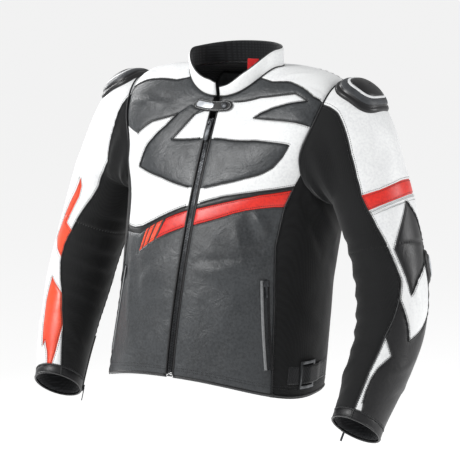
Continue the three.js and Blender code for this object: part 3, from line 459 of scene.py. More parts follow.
def level(girth, height):
    """Chart points at one height."""
    return np.stack([girth, np.full(len(girth), height)], -1)


def inside(points, outline):
    """Which chart points lie in a closed outline."""
    x, y = points[:, 0], points[:, 1]
    found = np.zeros(len(points), bool)
    for (x0, y0), (x1, y1) in zip(outline, np.roll(outline, -1, 0)):
        crosses = (y0 > y) != (y1 > y)
        with np.errstate(divide="ignore", invalid="ignore"):
            found ^= crosses & (x < (x1 - x0) * (y - y0) / (y1 - y0) + x0)
    return found


class Shell:
    """Panels cut on one chart so that neighbours share every point of the seam between them.

    cuts is a list of (panel name or None for a hole, chart outline), each laid over those before it.
    """

    GROOVE = 1.0            # how far the leather dips at a seam, millimetres
    GROOVE_WIDTH = 1.7
    ROW_REACH = 1.7         # from a seam to the row of points beside it
    ROW_CLEAR = 1.4         # least room between those rows and any seam
    SPREAD_CLEAR = 2.6      # least room between the spread points and the rest

    def __init__(self, surface, scale, edges, cuts, wraps, outward=1, step=5.0):
        """step is the room between points in millimetres."""
        self.surface, self.scale, self.outward, self.step = surface, scale, outward, step
        (p0, p1), (q0, q1) = edges
        frame_line = shared_out([(p0, q0), (p1, q0), (p1, q1), (p0, q1)], scale, step * 0.8, True)
        outlines = [frame_line] + [shared_out(o, scale, step * 0.8, True) for _, o in cuts]
        fixed, joins = [], []
        for line in outlines:
            base = len(fixed)
            fixed += [tuple(p) for p in line * scale]
            joins += [(base + k, base + (k + 1) % len(line)) for k in range(len(line))]
        corners = np.array([p0, q0]) * scale, np.array([p1, q1]) * scale
        loose = self.loose_points(corners, np.array(fixed), outlines[1:])
        spots = [Vector(p) for p in fixed] + [Vector(p) for p in loose]
        spots, _, triangles, *_ = delaunay_2d_cdt(spots, joins, [], 0, 1e-3)
        flat = np.array([tuple(p) for p in spots]) / scale
        triangles = np.array(triangles)
        middle = flat[triangles].mean(1)
        names = [name for name, _ in cuts]
        label = np.full(len(triangles), -1)
        for k, (_, outline) in enumerate(cuts):
            label[inside(middle, np.asarray(outline, float))] = k
        keep = np.array([k >= 0 and names[k] is not None for k in label])
        span = np.abs(middle[:, 0] - (p0 + p1) / 2) < (p1 - p0) / 2
        triangles, label = triangles[keep & span], label[keep & span]
        self.names = sorted({names[k] for k in label})
        order = {name: k for k, name in enumerate(self.names)}
        self.label = np.array([order[names[k]] for k in label])
        self.join_ends(flat, triangles, wraps)

    def loose_points(self, corners, fixed, outlines):
        """A hexagonal spread of points, and a row close to each side of every seam, clear of each other."""
        (x0, y0), (x1, y1) = corners
        step = self.step
        spread = [(x + (step / 2 if j % 2 else 0), y)
                  for j, y in enumerate(np.arange(y0 + step, y1 - step / 2, step * 0.87))
                  for x in np.arange(x0 + step, x1 - step / 2, step)]
        rows = []
        for line in outlines:
            mm = line * self.scale
            along = unit(np.roll(mm, -1, 0) - np.roll(mm, 1, 0))
            side = np.stack([-along[:, 1], along[:, 0]], -1)
            for reach in (self.ROW_REACH, -self.ROW_REACH):
                rows += [tuple(p) for p in mm + side * reach]
        rows = [p for p in rows if x0 + 1 < p[0] < x1 - 1 and y0 + 1 < p[1] < y1 - 1]
        tree = KDTree(len(fixed))
        for k, p in enumerate(fixed):
            tree.insert((p[0], p[1], 0), k)
        tree.balance()
        rows = [p for p in rows if tree.find((*p, 0))[2] > self.ROW_CLEAR]
        near = KDTree(len(rows) + len(fixed))
        for k, p in enumerate([*rows, *map(tuple, fixed)]):
            near.insert((p[0], p[1], 0), k)
        near.balance()
        return rows + [p for p in spread if near.find((*p, 0))[2] > self.SPREAD_CLEAR]

    def join_ends(self, flat, triangles, wraps):
        """Merges the two ends of a chart that closes on itself, and finds the seams."""
        used, triangles = np.unique(triangles, return_inverse=True)
        triangles = triangles.reshape(-1, 3)
        flat = flat[used]
        if wraps:
            key = np.round(self.surface(flat[:, 0], flat[:, 1]) / (0.02 * MM)).astype(int)
            _, first, back = np.unique(key, axis=0, return_index=True, return_inverse=True)
            back = back.reshape(-1)
            triangles, flat = back[triangles], flat[first]
        a, b, c = triangles.T
        good = (a != b) & (b != c) & (a != c)
        self.triangles, self.label, self.flat = triangles[good], self.label[good], flat
        owners = {}
        for tri, who in zip(self.triangles, self.label):
            for k in range(3):
                edge = tuple(sorted((tri[k], tri[(k + 1) % 3])))
                owners.setdefault(edge, []).append(who)
        self.seams = [e for e, who in owners.items() if len(who) == 1 or who[0] != who[-1]]
        self.seam_points = sorted({k for e in self.seams for k in e})

    def build(self, fold, lift=LEATHER, full=1.1, groove=GROOVE):
        """Points of the shell: grooved along seams, a little full between them, and folded."""
        self.fold, self.lift, self.full, self.groove = fold, lift, full, groove
        at = self.surface(self.flat[:, 0], self.flat[:, 1])
        self.tree = KDTree(len(self.seam_points))
        for k in self.seam_points:
            self.tree.insert(at[k], k)
        self.tree.balance()
        self.points, self.out = self.on_skin(self.flat)
        return self

    def on_skin(self, flat, rise=0.0):
        """Chart points carried to the outer face plus a rise in millimetres, and the way they face."""
        flat = np.asarray(flat, float)
        at = self.surface(flat[:, 0], flat[:, 1])
        out = normals(self.surface, flat[:, 0], flat[:, 1], self.outward)
        gap = np.array([self.tree.find(p)[2] for p in at]) / MM
        dip = -self.groove * np.exp(-((gap / self.GROOVE_WIDTH) ** 2))
        ease = 0.35 + 0.65 * smooth(gap / 14)
        lift = self.lift(flat) if callable(self.lift) else self.lift
        height = lift + dip + self.full * (1 - np.exp(-gap / 16)) + self.fold(flat, at) * ease + rise
        return at + out * (height * MM)[:, None], out

    def part(self, name, panel, mat, rides, where=None, thick=1.2):
        """One panel as a closed piece; where(chart points) keeps a share of it."""
        mine = self.label == self.names.index(panel)
        if where is not None:
            mine &= where(self.flat[self.triangles].mean(1))
        triangles = self.triangles[mine]
        if not len(triangles):
            return None
        used, faces = np.unique(triangles, return_inverse=True)
        faces = faces.reshape(-1, 3)
        a, b, c = (self.points[used][faces[:, k]] for k in range(3))
        facing = np.einsum("ij,ij->i", np.cross(b - a, c - a), self.out[used][faces[:, 0]])
        faces = np.where(facing[:, None] < 0, faces[:, ::-1], faces)
        obj = piece(name, self.points[used], faces, mat, None)
        wall = obj.modifiers.new("wall", "SOLIDIFY")
        wall.thickness = thick * MM
        wall.offset = -1
        baked(obj)
        return settled(obj, rides)


def other_side(line):
    return [(-p, q) for p, q in line]


STANDING = 1.8                           # folds stand out further than they sink


def creased(strokes, scale, drift):
    """A height field in millimetres from fold strokes (start, end, width, height) and a slow drift."""
    def field(flat, at):
        mm = flat * scale
        height = np.zeros(len(flat))
        for start, end, width, rise in strokes:
            a, b = np.array(start) * scale, np.array(end) * scale
            t = np.clip(((mm - a) @ (b - a)) / ((b - a) @ (b - a)), 0, 1)
            gap = np.linalg.norm(mm - a - t[:, None] * (b - a), axis=1)
            fade = 0.25 + 0.75 * np.sin(math.pi * np.clip(t, 0.06, 0.94))
            height += rise * np.exp(-((gap / width) ** 2)) * fade
        slow = np.array([noise_vector(Vector(p) * 14)[0] for p in at])
        quick = np.array([noise_vector(Vector(p) * 42)[1] for p in at])
        return np.where(height > 0, STANDING * height, height) + drift * (slow + 0.4 * quick)
    return field


# ---------------------------------------------------------------- the torso's panels
ARMHOLE_LINE = [tuple(float(k) for k in armhole(turn)) for turn in np.arange(0, 360, 6)]
NECK_LINE = 0.996
SIDE_FRONT = [(56, 0), (53, 0.2), (48, 0.33), (49, 0.44), (52, 0.487)]
SIDE_BACK = [(126, 0), (129, 0.2), (128, 0.38), (125.3, 0.517)]
WHITE_LOW_LEFT = [(0, 0.448), (6, 0.466), (13, 0.482), (22, 0.489), (32, 0.491), (52, 0.487)]
WHITE_LOW_RIGHT = [(0, 0.448), (-12, 0.408), (-20, 0.383), (-28, 0.362), (-36, 0.352), (-44, 0.350),
                   (-48.2, 0.352)]
RED_TOP_LEFT = [(0, 0.432), (7, 0.448), (14, 0.461), (22, 0.472), (32, 0.479), (51.4, 0.478)]
RED_LOW_LEFT = [(49, 0.436), (42, 0.439), (34, 0.438), (26, 0.434), (20, 0.426), (5, 0.394), (0, 0.382)]
Z_LEFT = [(-23, 0.825), (-24, 0.75), (-27, 0.67), (-36, 0.535)]
Z_LOW = [(-36, 0.535), (-18, 0.532), (-9, 0.520), (-3, 0.512), (2, 0.513), (10, 0.532), (21, 0.547),
         (29, 0.552), (35, 0.565), (39, 0.595), (41, 0.630)]
Z_TOP = [(41, 0.63), (23, 0.705), (6, 0.745), (-1, 0.748), (-16, 0.708)]
Z_RIGHT = [(-16, 0.708), (-14, 0.777), (-12, 0.858)]
DARK_RIGHT_LOW = [(-39, 0.645), (-36, 0.68), (-33, 0.73), (-27, 0.785), (-23, 0.825)]
YOKE_RIGHT = [(-51, NECK_LINE), (-51, 0.965), (-52, 0.92), (-59, 0.863), (-64, 0.805), (-68, 0.748),
              (-69, 0.698), (-72, 0.66)]
YOKE_LEFT = [(55, NECK_LINE), (55, 0.922), (57, 0.905), (62, 0.863), (63, 0.75), (71, 0.66)]
WEDGE_LEFT = [(17, 0.945), (38, 0.893), (56, 0.805), (58, 0.75), (48, 0.787), (39, 0.812), (31, 0.820),
              (26, 0.815), (39, 0.743), (55, 0.65)]
YOKE_BACK = [(107, 0.73), (119, 0.86), (124, 0.88), (140, 0.872), (160, 0.85), (180, 0.838)]
CENTRE_BACK = [(150, 0.38), (146, 0.55), (149, 0.70), (158, 0.80), (180, 0.838)]


def red_bar(top, width):
    """A slanted bar at the red band's end, between the band's two edges."""
    high = lambda u: 0.39 + (u + 14) * 0.003125
    low = lambda u: 0.345 + (u + 13) * 0.003
    lean = 4.2
    return [(top, high(top)), (top - width, high(top - width)), (top - width - lean, low(top - width - lean)),
            (top - lean, low(top - lean))]


def torso_cuts():
    """The torso's panels and holes, later ones laid over earlier ones."""
    heights = np.linspace(-0.02, 1.02, 30)
    facing = [(float(girth_at(6.2, min(max(v, 0), 1))), float(v)) for v in heights]
    lower = [(0, 0), *SIDE_FRONT, (52, 0.6), (0, 0.6)]
    side = [*SIDE_FRONT, (54.7, 0.517), (90, 0.47), (125.3, 0.517), (128, 0.38), (129, 0.2), (126, 0)]
    lumbar = [(126, 0), (180, 0), (180, 0.38), (128, 0.38), (129, 0.2)]
    centre = [*CENTRE_BACK, (180, 0.38)]
    chest_left = [*WHITE_LOW_LEFT, (54.7, 0.517), (80, 0.6), (80, 0.8), (60, 0.96), (0, 0.96)]
    chest_right = [*WHITE_LOW_RIGHT, (-49, 0.44), (-52, 0.487), (-54.7, 0.517), (-80, 0.6), (-80, 0.8),
                   (-60, 0.96), (0, 0.96)]
    yoke_left = [*YOKE_LEFT, (90, 0.66), *YOKE_BACK, (180, NECK_LINE)]
    yoke_right = [*YOKE_RIGHT, (-90, 0.66), *other_side(YOKE_BACK), (-180, NECK_LINE)]
    dark_left = [(0, NECK_LINE), (0, 0.945), *WEDGE_LEFT, (71, 0.62), *reversed(YOKE_LEFT)]
    dark_right = [(0, NECK_LINE), (0, 0.93), (-8, 0.885), (-12, 0.858), *reversed(DARK_RIGHT_LOW),
                  (-60, 0.62), *reversed(YOKE_RIGHT)]
    return [
        ("back", [(-180, 0), (180, 0), (180, NECK_LINE), (-180, NECK_LINE)]),
        ("centre_back", centre), ("centre_back", other_side(centre)),
        ("lumbar", lumbar), ("lumbar", other_side(lumbar)),
        ("lower_front_left", lower), ("lower_front_right", other_side(lower)),
        ("side_left", side), ("side_right", other_side(side)),
        ("chest_left", chest_left), ("chest_right", chest_right),
        ("band_edge", [*WHITE_LOW_LEFT, *reversed(RED_TOP_LEFT)]),
        ("band_edge", [*WHITE_LOW_RIGHT, (-48.1, 0.336), (-30, 0.34), (-14, 0.39), (0, 0.432)]),
        ("red_band", [*RED_TOP_LEFT, *RED_LOW_LEFT]),
        ("red_band", [(0, 0.432), (-12, 0.396), (-16.4, 0.335), (-13, 0.345), (0, 0.382)]),
        ("red_bars", red_bar(-13.6, 3.8)), ("red_bars", red_bar(-18.6, 3.2)),
        ("red_bars", red_bar(-22.8, 2.2)),
        ("dark_left", dark_left), ("dark_right", dark_right),
        ("z_band", [*Z_LEFT, *Z_LOW[1:], *Z_TOP[1:], *Z_RIGHT[1:], (-10, 0.9), (-20, 0.9)]),
        ("yoke_left", yoke_left), ("yoke_right", yoke_right),
        (None, ARMHOLE_LINE), (None, other_side(ARMHOLE_LINE)),
        (None, facing + [(-u, v) for u, v in reversed(facing)]),
    ]


TORSO_FOLDS = [
    ((27, 0.415), (38, 0.325), 7, -2.6), ((31, 0.425), (43, 0.355), 7, 3.0),
    ((45, 0.41), (40, 0.325), 6, -2.6), ((22, 0.385), (30, 0.305), 8, 2.0),
    ((28, 0.312), (43, 0.33), 5, -3.2), ((6, 0.290), (27, 0.298), 5, -1.9), ((8, 0.272), (31, 0.276), 9, 1.6),
    ((12, 0.35), (22, 0.30), 9, -1.4), ((30, 0.24), (44, 0.29), 9, 1.6), ((20, 0.14), (34, 0.2), 16, 1.6),
    ((8, 0.2), (20, 0.1), 18, -1.4), ((24, 0.05), (40, 0.12), 14, 1.4), ((-40, 0.30), (-28, 0.10), 15, 1.8),
    ((-33, 0.31), (-20, 0.12), 11, -1.5), ((-10, 0.28), (-26, 0.20), 9, 1.3),
    ((-8, 0.24), (-24, 0.16), 9, -1.2), ((-48, 0.26), (-36, 0.22), 9, -1.6),
    ((-12, 0.08), (-34, 0.05), 13, 1.3), ((60, 0.45), (84, 0.30), 8, -2.6), ((66, 0.46), (96, 0.33), 9, 2.4),
    ((72, 0.36), (110, 0.22), 10, -2.0), ((64, 0.20), (100, 0.12), 11, 1.8),
    ((60, 0.12), (92, 0.06), 9, -1.6), ((-60, 0.45), (-84, 0.30), 8, -2.6),
    ((-66, 0.46), (-96, 0.33), 9, 2.4), ((-72, 0.36), (-110, 0.22), 10, -2.0),
    ((66, 0.80), (74, 0.72), 6, -1.6), ((64, 0.90), (80, 0.84), 6, 1.4), ((-66, 0.84), (-78, 0.78), 7, 1.3),
    ((-40, 0.80), (-55, 0.72), 8, 1.6), ((-34, 0.86), (-50, 0.80), 7, -1.5), ((40, 0.72), (55, 0.69), 6, 1.2),
    ((112, 0.60), (140, 0.70), 10, -1.6), ((-112, 0.60), (-140, 0.70), 10, -1.6),
    ((114, 0.52), (142, 0.60), 9, 1.6), ((-114, 0.52), (-142, 0.60), 9, 1.6),
    ((120, 0.42), (150, 0.46), 9, -1.4), ((-120, 0.42), (-150, 0.46), 9, -1.4),
]
LUMBAR_RIBS = 17


def torso_fold(flat, at):
    """Folds all over, and ribs in their place across the lumbar panel."""
    height = creased(TORSO_FOLDS, TORSO_SCALE, 0.9)(flat, at)
    u, v = np.abs(flat[:, 0]), flat[:, 1]
    lumbar = smooth((u - 131) / 4) * smooth((0.372 - v) / 0.02) * smooth((v - 0.03) / 0.02)
    ribs = 1.5 * np.abs(np.sin(math.pi * LUMBAR_RIBS * v / 0.38)) - 0.6
    return height * (1 - lumbar) + ribs * lumbar


body = Shell(torso, TORSO_SCALE, ((-180, 180), (0.002, NECK_LINE)), torso_cuts(),
             wraps=True).build(torso_fold)
TORSO_FINISH = {
    "back": BLACK, "centre_back": CHARCOAL, "lumbar": RIBBED, "lower_front_left": CHARCOAL,
    "lower_front_right": CHARCOAL, "side_left": STRETCH, "side_right": STRETCH, "chest_left": WHITE,
    # The red bars stand in for the band's print, but their orange-red is painted highlight: the lit copy of
    # the red leather.
    "chest_right": WHITE, "band_edge": BLACK, "red_band": RED, "red_bars": LIT_RED, "dark_left": CHARCOAL,
    "dark_right": CHARCOAL, "z_band": CHARCOAL, "yoke_left": WHITE, "yoke_right": WHITE,
}
TORSO_NODES = {
    "back": ["back_panel"], "lumbar": ["lumbar_panel"], "lower_front_left": ["lower_front_left"],
    "lower_front_right": ["lower_front_right"], "side_left": ["side_panel_left"],
    "side_right": ["side_panel_right"], "chest_left": ["chest_panel_left"],
    "chest_right": ["chest_panel_right"], "yoke_left": ["yoke_left"], "yoke_right": ["yoke_right"],
}
for panel in body.names:
    made = body.part(f"shell_{panel}", panel, TORSO_FINISH[panel], "root")
    if panel in TORSO_NODES:
        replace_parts(made, *TORSO_NODES[panel])

# ---------------------------------------------------------------- the sleeves' panels
BACK_SEAM = [(-145, 0), (-152, 0.35), (-155, 0.55), (-152, 0.75), (-146, 0.79), (-146, 1)]
FRONT_SEAM_LEFT = [(40, 0), (45, 0.068), (64.5, 0.19), (73, 0.27), (76.5, 0.345), (73.5, 0.393), (69, 0.448),
                   (55.5, 0.537), (49.5, 0.58), (54, 0.62), (69, 0.715), (76.5, 0.818), (79.5, 0.912),
                   (81, 0.985), (82, 1)]
FRONT_SEAM_RIGHT = [(40, 0), (48, 0.018), (70.5, 0.068), (102, 0.173), (109, 0.26), (111, 0.357), (106, 0.41),
                    (97.5, 0.465), (88.5, 0.527), (82.5, 0.562), (82.5, 0.61), (90, 0.655), (100.5, 0.713),
                    (114, 0.807), (120, 0.89), (126, 0.975), (127, 1)]
RED_CUFF_BAND = [(76.5, 0.345), (48, 0.343), (9, 0.33), (-40, 0.325), (-100, 0.33), (-152, 0.345),
                 (-152.5, 0.388), (-100, 0.375), (-40, 0.37), (1.5, 0.375), (43.5, 0.385), (73.5, 0.393)]
BAND_SEAM = [(73, 0.406), (43.5, 0.398), (10.5, 0.390), (1.5, 0.388), (-40, 0.383), (-100, 0.388),
             (-153, 0.402)]
DIAMOND = [(10.5, 0.393), (49.5, 0.512), (33, 0.61), (18, 0.578), (-10.5, 0.545), (-25.5, 0.505), (-9, 0.44)]
CHEVRON = [(73.5, 0.406), (10.5, 0.393), (49.5, 0.512), (33, 0.61), (18, 0.578), (-10.5, 0.545), (-21, 0.593),
           (-24, 0.633), (-1.5, 0.67), (25.5, 0.71), (39, 0.667), (54, 0.62), (49.5, 0.58), (55.5, 0.537),
           (69, 0.448)]
ELBOW_DARK = [(-25.5, 0.505), (-10.5, 0.545), (-21, 0.593), (-24, 0.633), (-1.5, 0.67), (25.5, 0.71),
              (-60, 0.9), (-152, 0.75), (-155, 0.55), (-120, 0.52), (-90, 0.485), (-55, 0.478)]
FOREARM_DARK = [(54, 0.62), (39, 0.667), (25.5, 0.71), (-1.5, 0.67), (-60, 0.64), (-153, 0.70), (-152, 0.75),
                (-146, 0.79), (-146, 1), (82, 1), (81, 0.985), (79.5, 0.912), (76.5, 0.818), (69, 0.715)]
CUFF_WEDGE = [(69, 0.715), (46.5, 0.758), (62, 0.802), (68, 0.838), (69, 0.875), (67, 0.92), (63, 0.975),
              (81, 0.985), (79.5, 0.912), (76.5, 0.818)]
RED_SPEAR = [(73.5, 0.362), (81, 0.385), (82.5, 0.425), (77, 0.47), (70.5, 0.515), (88.5, 0.527),
             (82.5, 0.562), (82.5, 0.605), (62, 0.585), (48, 0.56), (55.5, 0.512), (70.5, 0.415)]
RED_FLAME = [(67.5, 0.66), (99, 0.71), (112.5, 0.807), (106.5, 0.89), (99, 0.965), (88.5, 0.965),
             (82.5, 0.897), (73.5, 0.855), (66, 0.873), (60, 0.81), (58.5, 0.728)]
CUP_SEAT = [(-25, 0.485), (-4, 0.545), (-20, 0.63), (-58, 0.65), (-84, 0.56), (-60, 0.48)]
CUFF_BAND = 0.958
SLEEVE_EDGES = ((-160, 200), (0.0, 0.998))


def stretch_cuts(front_seam):
    return [("stretch", [*front_seam, (200, 1), (200, 0)]), ("stretch", [(-160, 0), *BACK_SEAM, (-160, 1)])]


def sleeve_cuts(side):
    """One sleeve's panels, later ones laid over earlier ones."""
    whole = ("sleeve", [(-160, 0), (200, 0), (200, 1), (-160, 1)])
    cuff = ("cuff", [(-160, CUFF_BAND), (200, CUFF_BAND), (200, 1), (-160, 1)])
    if side == "left":
        return [whole, ("forearm", ELBOW_DARK), ("forearm", FOREARM_DARK), ("chevron", CHEVRON),
                ("diamond", DIAMOND), *stretch_cuts(FRONT_SEAM_LEFT), ("band", RED_CUFF_BAND),
                ("wedge", CUFF_WEDGE), cuff]
    return [whole, ("forearm", CUP_SEAT), *stretch_cuts(FRONT_SEAM_RIGHT), ("spear", RED_SPEAR),
            ("flame", RED_FLAME), cuff]


def sleeve_folds():
    """Fold strokes of a sleeve: under the armpit, inside the elbow, then the rest."""
    strokes = [((66, 0.05), (98, 0.25), 6, -2.0), ((84, 0.04), (122, 0.26), 7, 2.4),
               ((100, 0.04), (146, 0.25), 6, -2.4), ((118, 0.05), (165, 0.27), 7, 2.2),
               ((140, 0.07), (188, 0.26), 7, -2.0)]
    for k, s in enumerate(np.linspace(0.45, 0.74, 12)):
        lean = 0.012 * (-1) ** k
        strokes.append(((72 + 4 * (k % 3), s), (186 - 6 * (k % 2), s + lean), 6.0, -1.5))
        strokes.append(((80 + 3 * (k % 2), s + 0.012), (178, s + 0.012 - lean), 6.0, 0.8))
    strokes += [((20, 0.20), (36, 0.30), 12, -1.6), ((-6, 0.18), (6, 0.30), 14, 1.8),
                ((-30, 0.20), (-20, 0.33), 14, -1.8), ((-50, 0.55), (-140, 0.60), 8, -1.8),
                ((-60, 0.60), (-140, 0.63), 8, 1.8), ((-60, 0.66), (-140, 0.68), 8, -1.8),
                ((-10, 0.74), (40, 0.80), 9, 1.2), ((-30, 0.82), (20, 0.86), 9, -1.2),
                ((-60, 0.78), (-20, 0.83), 9, 1.2), ((20, 0.60), (6, 0.66), 7, 1.0),
                ((120, 0.80), (170, 0.86), 8, 1.4), ((110, 0.86), (165, 0.92), 8, -1.4)]
    return strokes


SLEEVE_FINISH = {
    "left": {"sleeve": WHITE, "stretch": STRETCH, "forearm": BLACK, "chevron": WHITE, "diamond": BLACK,
             "band": RED, "wedge": WHITE, "cuff": BLACK},
    # The right sleeve's red spear and flame take the lit orange-red copy of the red leather, a painted
    # highlight.
    "right": {"sleeve": WHITE, "stretch": STRETCH, "forearm": BLACK, "spear": LIT_RED, "flame": LIT_RED,
              "cuff": BLACK},
}
sleeves = {}
for side, surface, outward in SLEEVES:
    arm = Shell(surface, SLEEVE_SCALE, SLEEVE_EDGES, sleeve_cuts(side), wraps=True, outward=outward)
    arm.build(creased(sleeve_folds(), SLEEVE_SCALE, 0.7))
    sleeves[side] = arm
SLEEVE_NODES = {
    ("sleeve", "upper"): ["sleeve_head", "upper_sleeve"], ("stretch", "lower"): ["elbow_bellows"],
    ("forearm", "lower"): ["forearm"], ("cuff", "lower"): ["cuff"],
}
for side, arm in sleeves.items():
    for panel in arm.names:
        for part, keep in (("upper", lambda c: c[:, 1] < SPLIT), ("lower", lambda c: c[:, 1] >= SPLIT)):
            made = arm.part(f"{part}_{panel}_{side}", panel, SLEEVE_FINISH[side][panel], (part, side), keep)
            if made and (panel, part) in SLEEVE_NODES:
                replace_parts(made, *[f"{node}_{side}" for node in SLEEVE_NODES[panel, part]])


# ---------------------------------------------------------------- rows of stitches and teeth
def grown_tree(name, inputs, grow):
    """A Geometry Nodes tree with named sizes, ending in Realize Instances and Set Material."""
    tree = bpy.data.node_groups.new(name, "GeometryNodeTree")
    face = tree.interface
    face.new_socket("Geometry", in_out="INPUT", socket_type="NodeSocketGeometry")
    for key, value in inputs.items():
        face.new_socket(key, in_out="INPUT", socket_type="NodeSocketFloat").default_value = value
    face.new_socket("Finish", in_out="INPUT", socket_type="NodeSocketMaterial")
    face.new_socket("Geometry", in_out="OUTPUT", socket_type="NodeSocketGeometry")
    node = node_maker(tree)
    start = node("NodeGroupInput")
    curve = node("GeometryNodeMeshToCurve", {"Mesh": start.outputs["Geometry"]}).outputs["Curve"]
    spots = node("GeometryNodeCurveToPoints", {"Curve": curve, "Length": start.outputs["Pitch"]},
                 mode="LENGTH")
    facing = node("GeometryNodeInputNamedAttribute", {"Name": "facing"},
                  data_type="FLOAT_VECTOR").outputs["Attribute"]
    along = node("FunctionNodeAlignRotationToVector", {"Vector": spots.outputs["Tangent"]},
                 axis="Z").outputs["Rotation"]
    turned = node("FunctionNodeAlignRotationToVector", {"Rotation": along, "Vector": facing}, axis="Y",
                  pivot_axis="Z")
    one = grow(node, start.outputs)
    placing = {"Points": spots.outputs["Points"], "Instance": one, "Rotation": turned.outputs["Rotation"]}
    placed = node("GeometryNodeInstanceOnPoints", placing).outputs["Instances"]
    real = node("GeometryNodeRealizeInstances", {"Geometry": placed}).outputs["Geometry"]
    done = node("GeometryNodeSetMaterial",
                {"Geometry": real, "Material": start.outputs["Finish"]}).outputs["Geometry"]
    node("NodeGroupOutput", {"Geometry": done})
    return tree


def vector_of(node, x, y, z):
    return node("ShaderNodeCombineXYZ", {"X": x, "Y": y, "Z": z}).outputs["Vector"]


def scaled(node, value, factor):
    return node("ShaderNodeMath", {0: value, 1: factor}, operation="MULTIPLY").outputs[0]


def one_stitch(node, size):
    ball = node("GeometryNodeMeshUVSphere", {"Segments": 6, "Rings": 4, "Radius": 0.5}).outputs["Mesh"]
    stretch = vector_of(node, size["Thickness"], size["Thickness"], size["Stitch"])
    smoothed = node("GeometryNodeTransform", {"Geometry": ball, "Scale": stretch}).outputs["Geometry"]
    return node("GeometryNodeSetShadeSmooth", {"Geometry": smoothed}).outputs["Geometry"]


def tooth_pair(node, size):
    """One tooth of each row, the second half a pitch further on, with a raised nose."""
    parts = []
    for way, on in ((0.5, 0.0), (-0.5, 0.5)):
        for wide, deep, thick in ((1.0, 1.0, 0.40), (0.5, 1.25, 0.28)):
            box = vector_of(node, scaled(node, size["Reach"], wide), scaled(node, size["Depth"], deep),
                            scaled(node, size["Pitch"], thick))
            place = vector_of(node, scaled(node, size["Reach"], way * (2.16 - wide)), 0.0,
                              scaled(node, size["Pitch"], on))
            cube = node("GeometryNodeMeshCube", {"Size": box}).outputs["Mesh"]
            parts.append(node("GeometryNodeTransform",
                              {"Geometry": cube, "Translation": place}).outputs["Geometry"])
    whole = node("GeometryNodeJoinGeometry")
    for part in parts:
        whole.id_data.links.new(part, whole.inputs["Geometry"])
    return whole.outputs["Geometry"]


STITCHES = grown_tree("stitch_rows", {"Pitch": 0.0036, "Stitch": 0.0027, "Thickness": 0.0008}, one_stitch)
TEETH = grown_tree("zip_teeth", {"Pitch": 0.0026, "Reach": 0.003, "Depth": 0.0024}, tooth_pair)


def grown(name, tree, rows, sizes, mat, rides):
    """Runs a tree along rows of (points, facing) and keeps the result as plain mesh."""
    points, facing, edges = [], [], []
    for line, out in rows:
        edges += [(len(points) + k, len(points) + k + 1) for k in range(len(line) - 1)]
        points += [tuple(p) for p in line]
        facing += [tuple(p) for p in out]
    mesh = bpy.data.meshes.new(name)
    mesh.from_pydata(points, edges, [])
    facings = mesh.attributes.new("facing", "FLOAT_VECTOR", "POINT")
    facings.data.foreach_set("vector", np.array(facing, np.float32).ravel())
    obj = bpy.data.objects.new(name, mesh)
    bpy.context.scene.collection.objects.link(obj)
    grow = obj.modifiers.new("rows", "NODES")
    grow.node_group = tree
    for item in tree.interface.items_tree:
        if item.in_out == "INPUT" and item.name in sizes:
            grow[item.identifier] = sizes[item.name]
        if item.in_out == "INPUT" and item.name == "Finish":
            grow[item.identifier] = mat
    baked(obj)
    obj.data.materials.clear()
    obj.data.materials.append(mat)
    return settled(obj, rides)


def runs(flat, keep):
    """The stretches of a line whose points are kept."""
    found, run = [], []
    for point, good in zip(flat, keep):
        if good:
            run.append(point)
        else:
            found.append(run)
            run = []
    return [np.array(run) for run in [*found, run] if len(run) > 2]


def clear_of(flat, holes):
    """Which chart points lie in none of the holes."""
    keep = np.ones(len(flat), bool)
    for hole in holes:
        keep &= ~inside(flat, np.asarray(hole, float))
    return keep


def beside(line, scale, reach):
    """A chart line moved sideways by reach millimetres, to its left."""
    mm = line * scale
    along = unit(np.gradient(mm, axis=0))
    return (mm + np.stack([-along[:, 1], along[:, 0]], -1) * reach) / scale


# ---------------------------------------------------------------- seams: piping and stitches
POINT_GAP = 3.0                          # between points along a seam, millimetres
PIPING_RISE = 0.55
STITCH_REACH = 2.9                       # from a seam to the stitches beside it
STITCH_RISE = 0.15


def seam_rows(shell, seams, holes, rides_of):
    """Rows of points and facings for piping and for stitches, by kind and by body."""
    rows = {}
    for line, closed, piped in seams:
        even = shared_out(line, shell.scale, POINT_GAP, closed)
        if closed:
            even = np.vstack([even, even[:1]])
        clear = clear_of(even, holes)
        for part, test in rides_of.items():
            for run in runs(even, clear & test(even)):
                if piped:
                    rows.setdefault(("piping", part), []).append(shell.on_skin(run, PIPING_RISE))
                for reach in (STITCH_REACH, -STITCH_REACH):
                    moved = beside(run, shell.scale, reach)
                    for row in runs(moved, clear_of(moved, holes)):
                        rows.setdefault(("stitch", part), []).append(shell.on_skin(row, STITCH_RISE))
    return rows


def seam_work(prefix, shell, seams, holes, rides_of):
    """Dark piping in each seam and a row of stitches on each side, one piece per body."""
    for (kind, part), lines in seam_rows(shell, seams, holes, rides_of).items():
        name = f"{kind}_{prefix}" + (f"_{part[0]}" if isinstance(part, tuple) else "")
        if kind == "stitch":
            grown(name, STITCHES, lines, {}, THREAD, part)
            continue
        beads = [swept(f"{name}_{k}", line, out, round_section(1.15), PIPING, None)
                 for k, (line, out) in enumerate(lines)]
        settled(merged(name, beads), part)


def merged(name, objects):
    """Joins pieces of one finish into one mesh."""
    points, faces = [], []
    for obj in objects:
        base = len(points)
        points += [tuple(v.co) for v in obj.data.vertices]
        faces += [tuple(base + k for k in f.vertices) for f in obj.data.polygons]
    mesh = bpy.data.meshes.new(name)
    mesh.from_pydata(points, [], faces)
    mesh.materials.append(objects[0].data.materials[0])
    mesh.polygons.foreach_set("use_smooth", [True] * len(mesh.polygons))
    for obj in objects:
        old = obj.data
        bpy.data.objects.remove(obj)
        bpy.data.meshes.remove(old)
    whole = bpy.data.objects.new(name, mesh)
    bpy.context.scene.collection.objects.link(whole)
    return whole


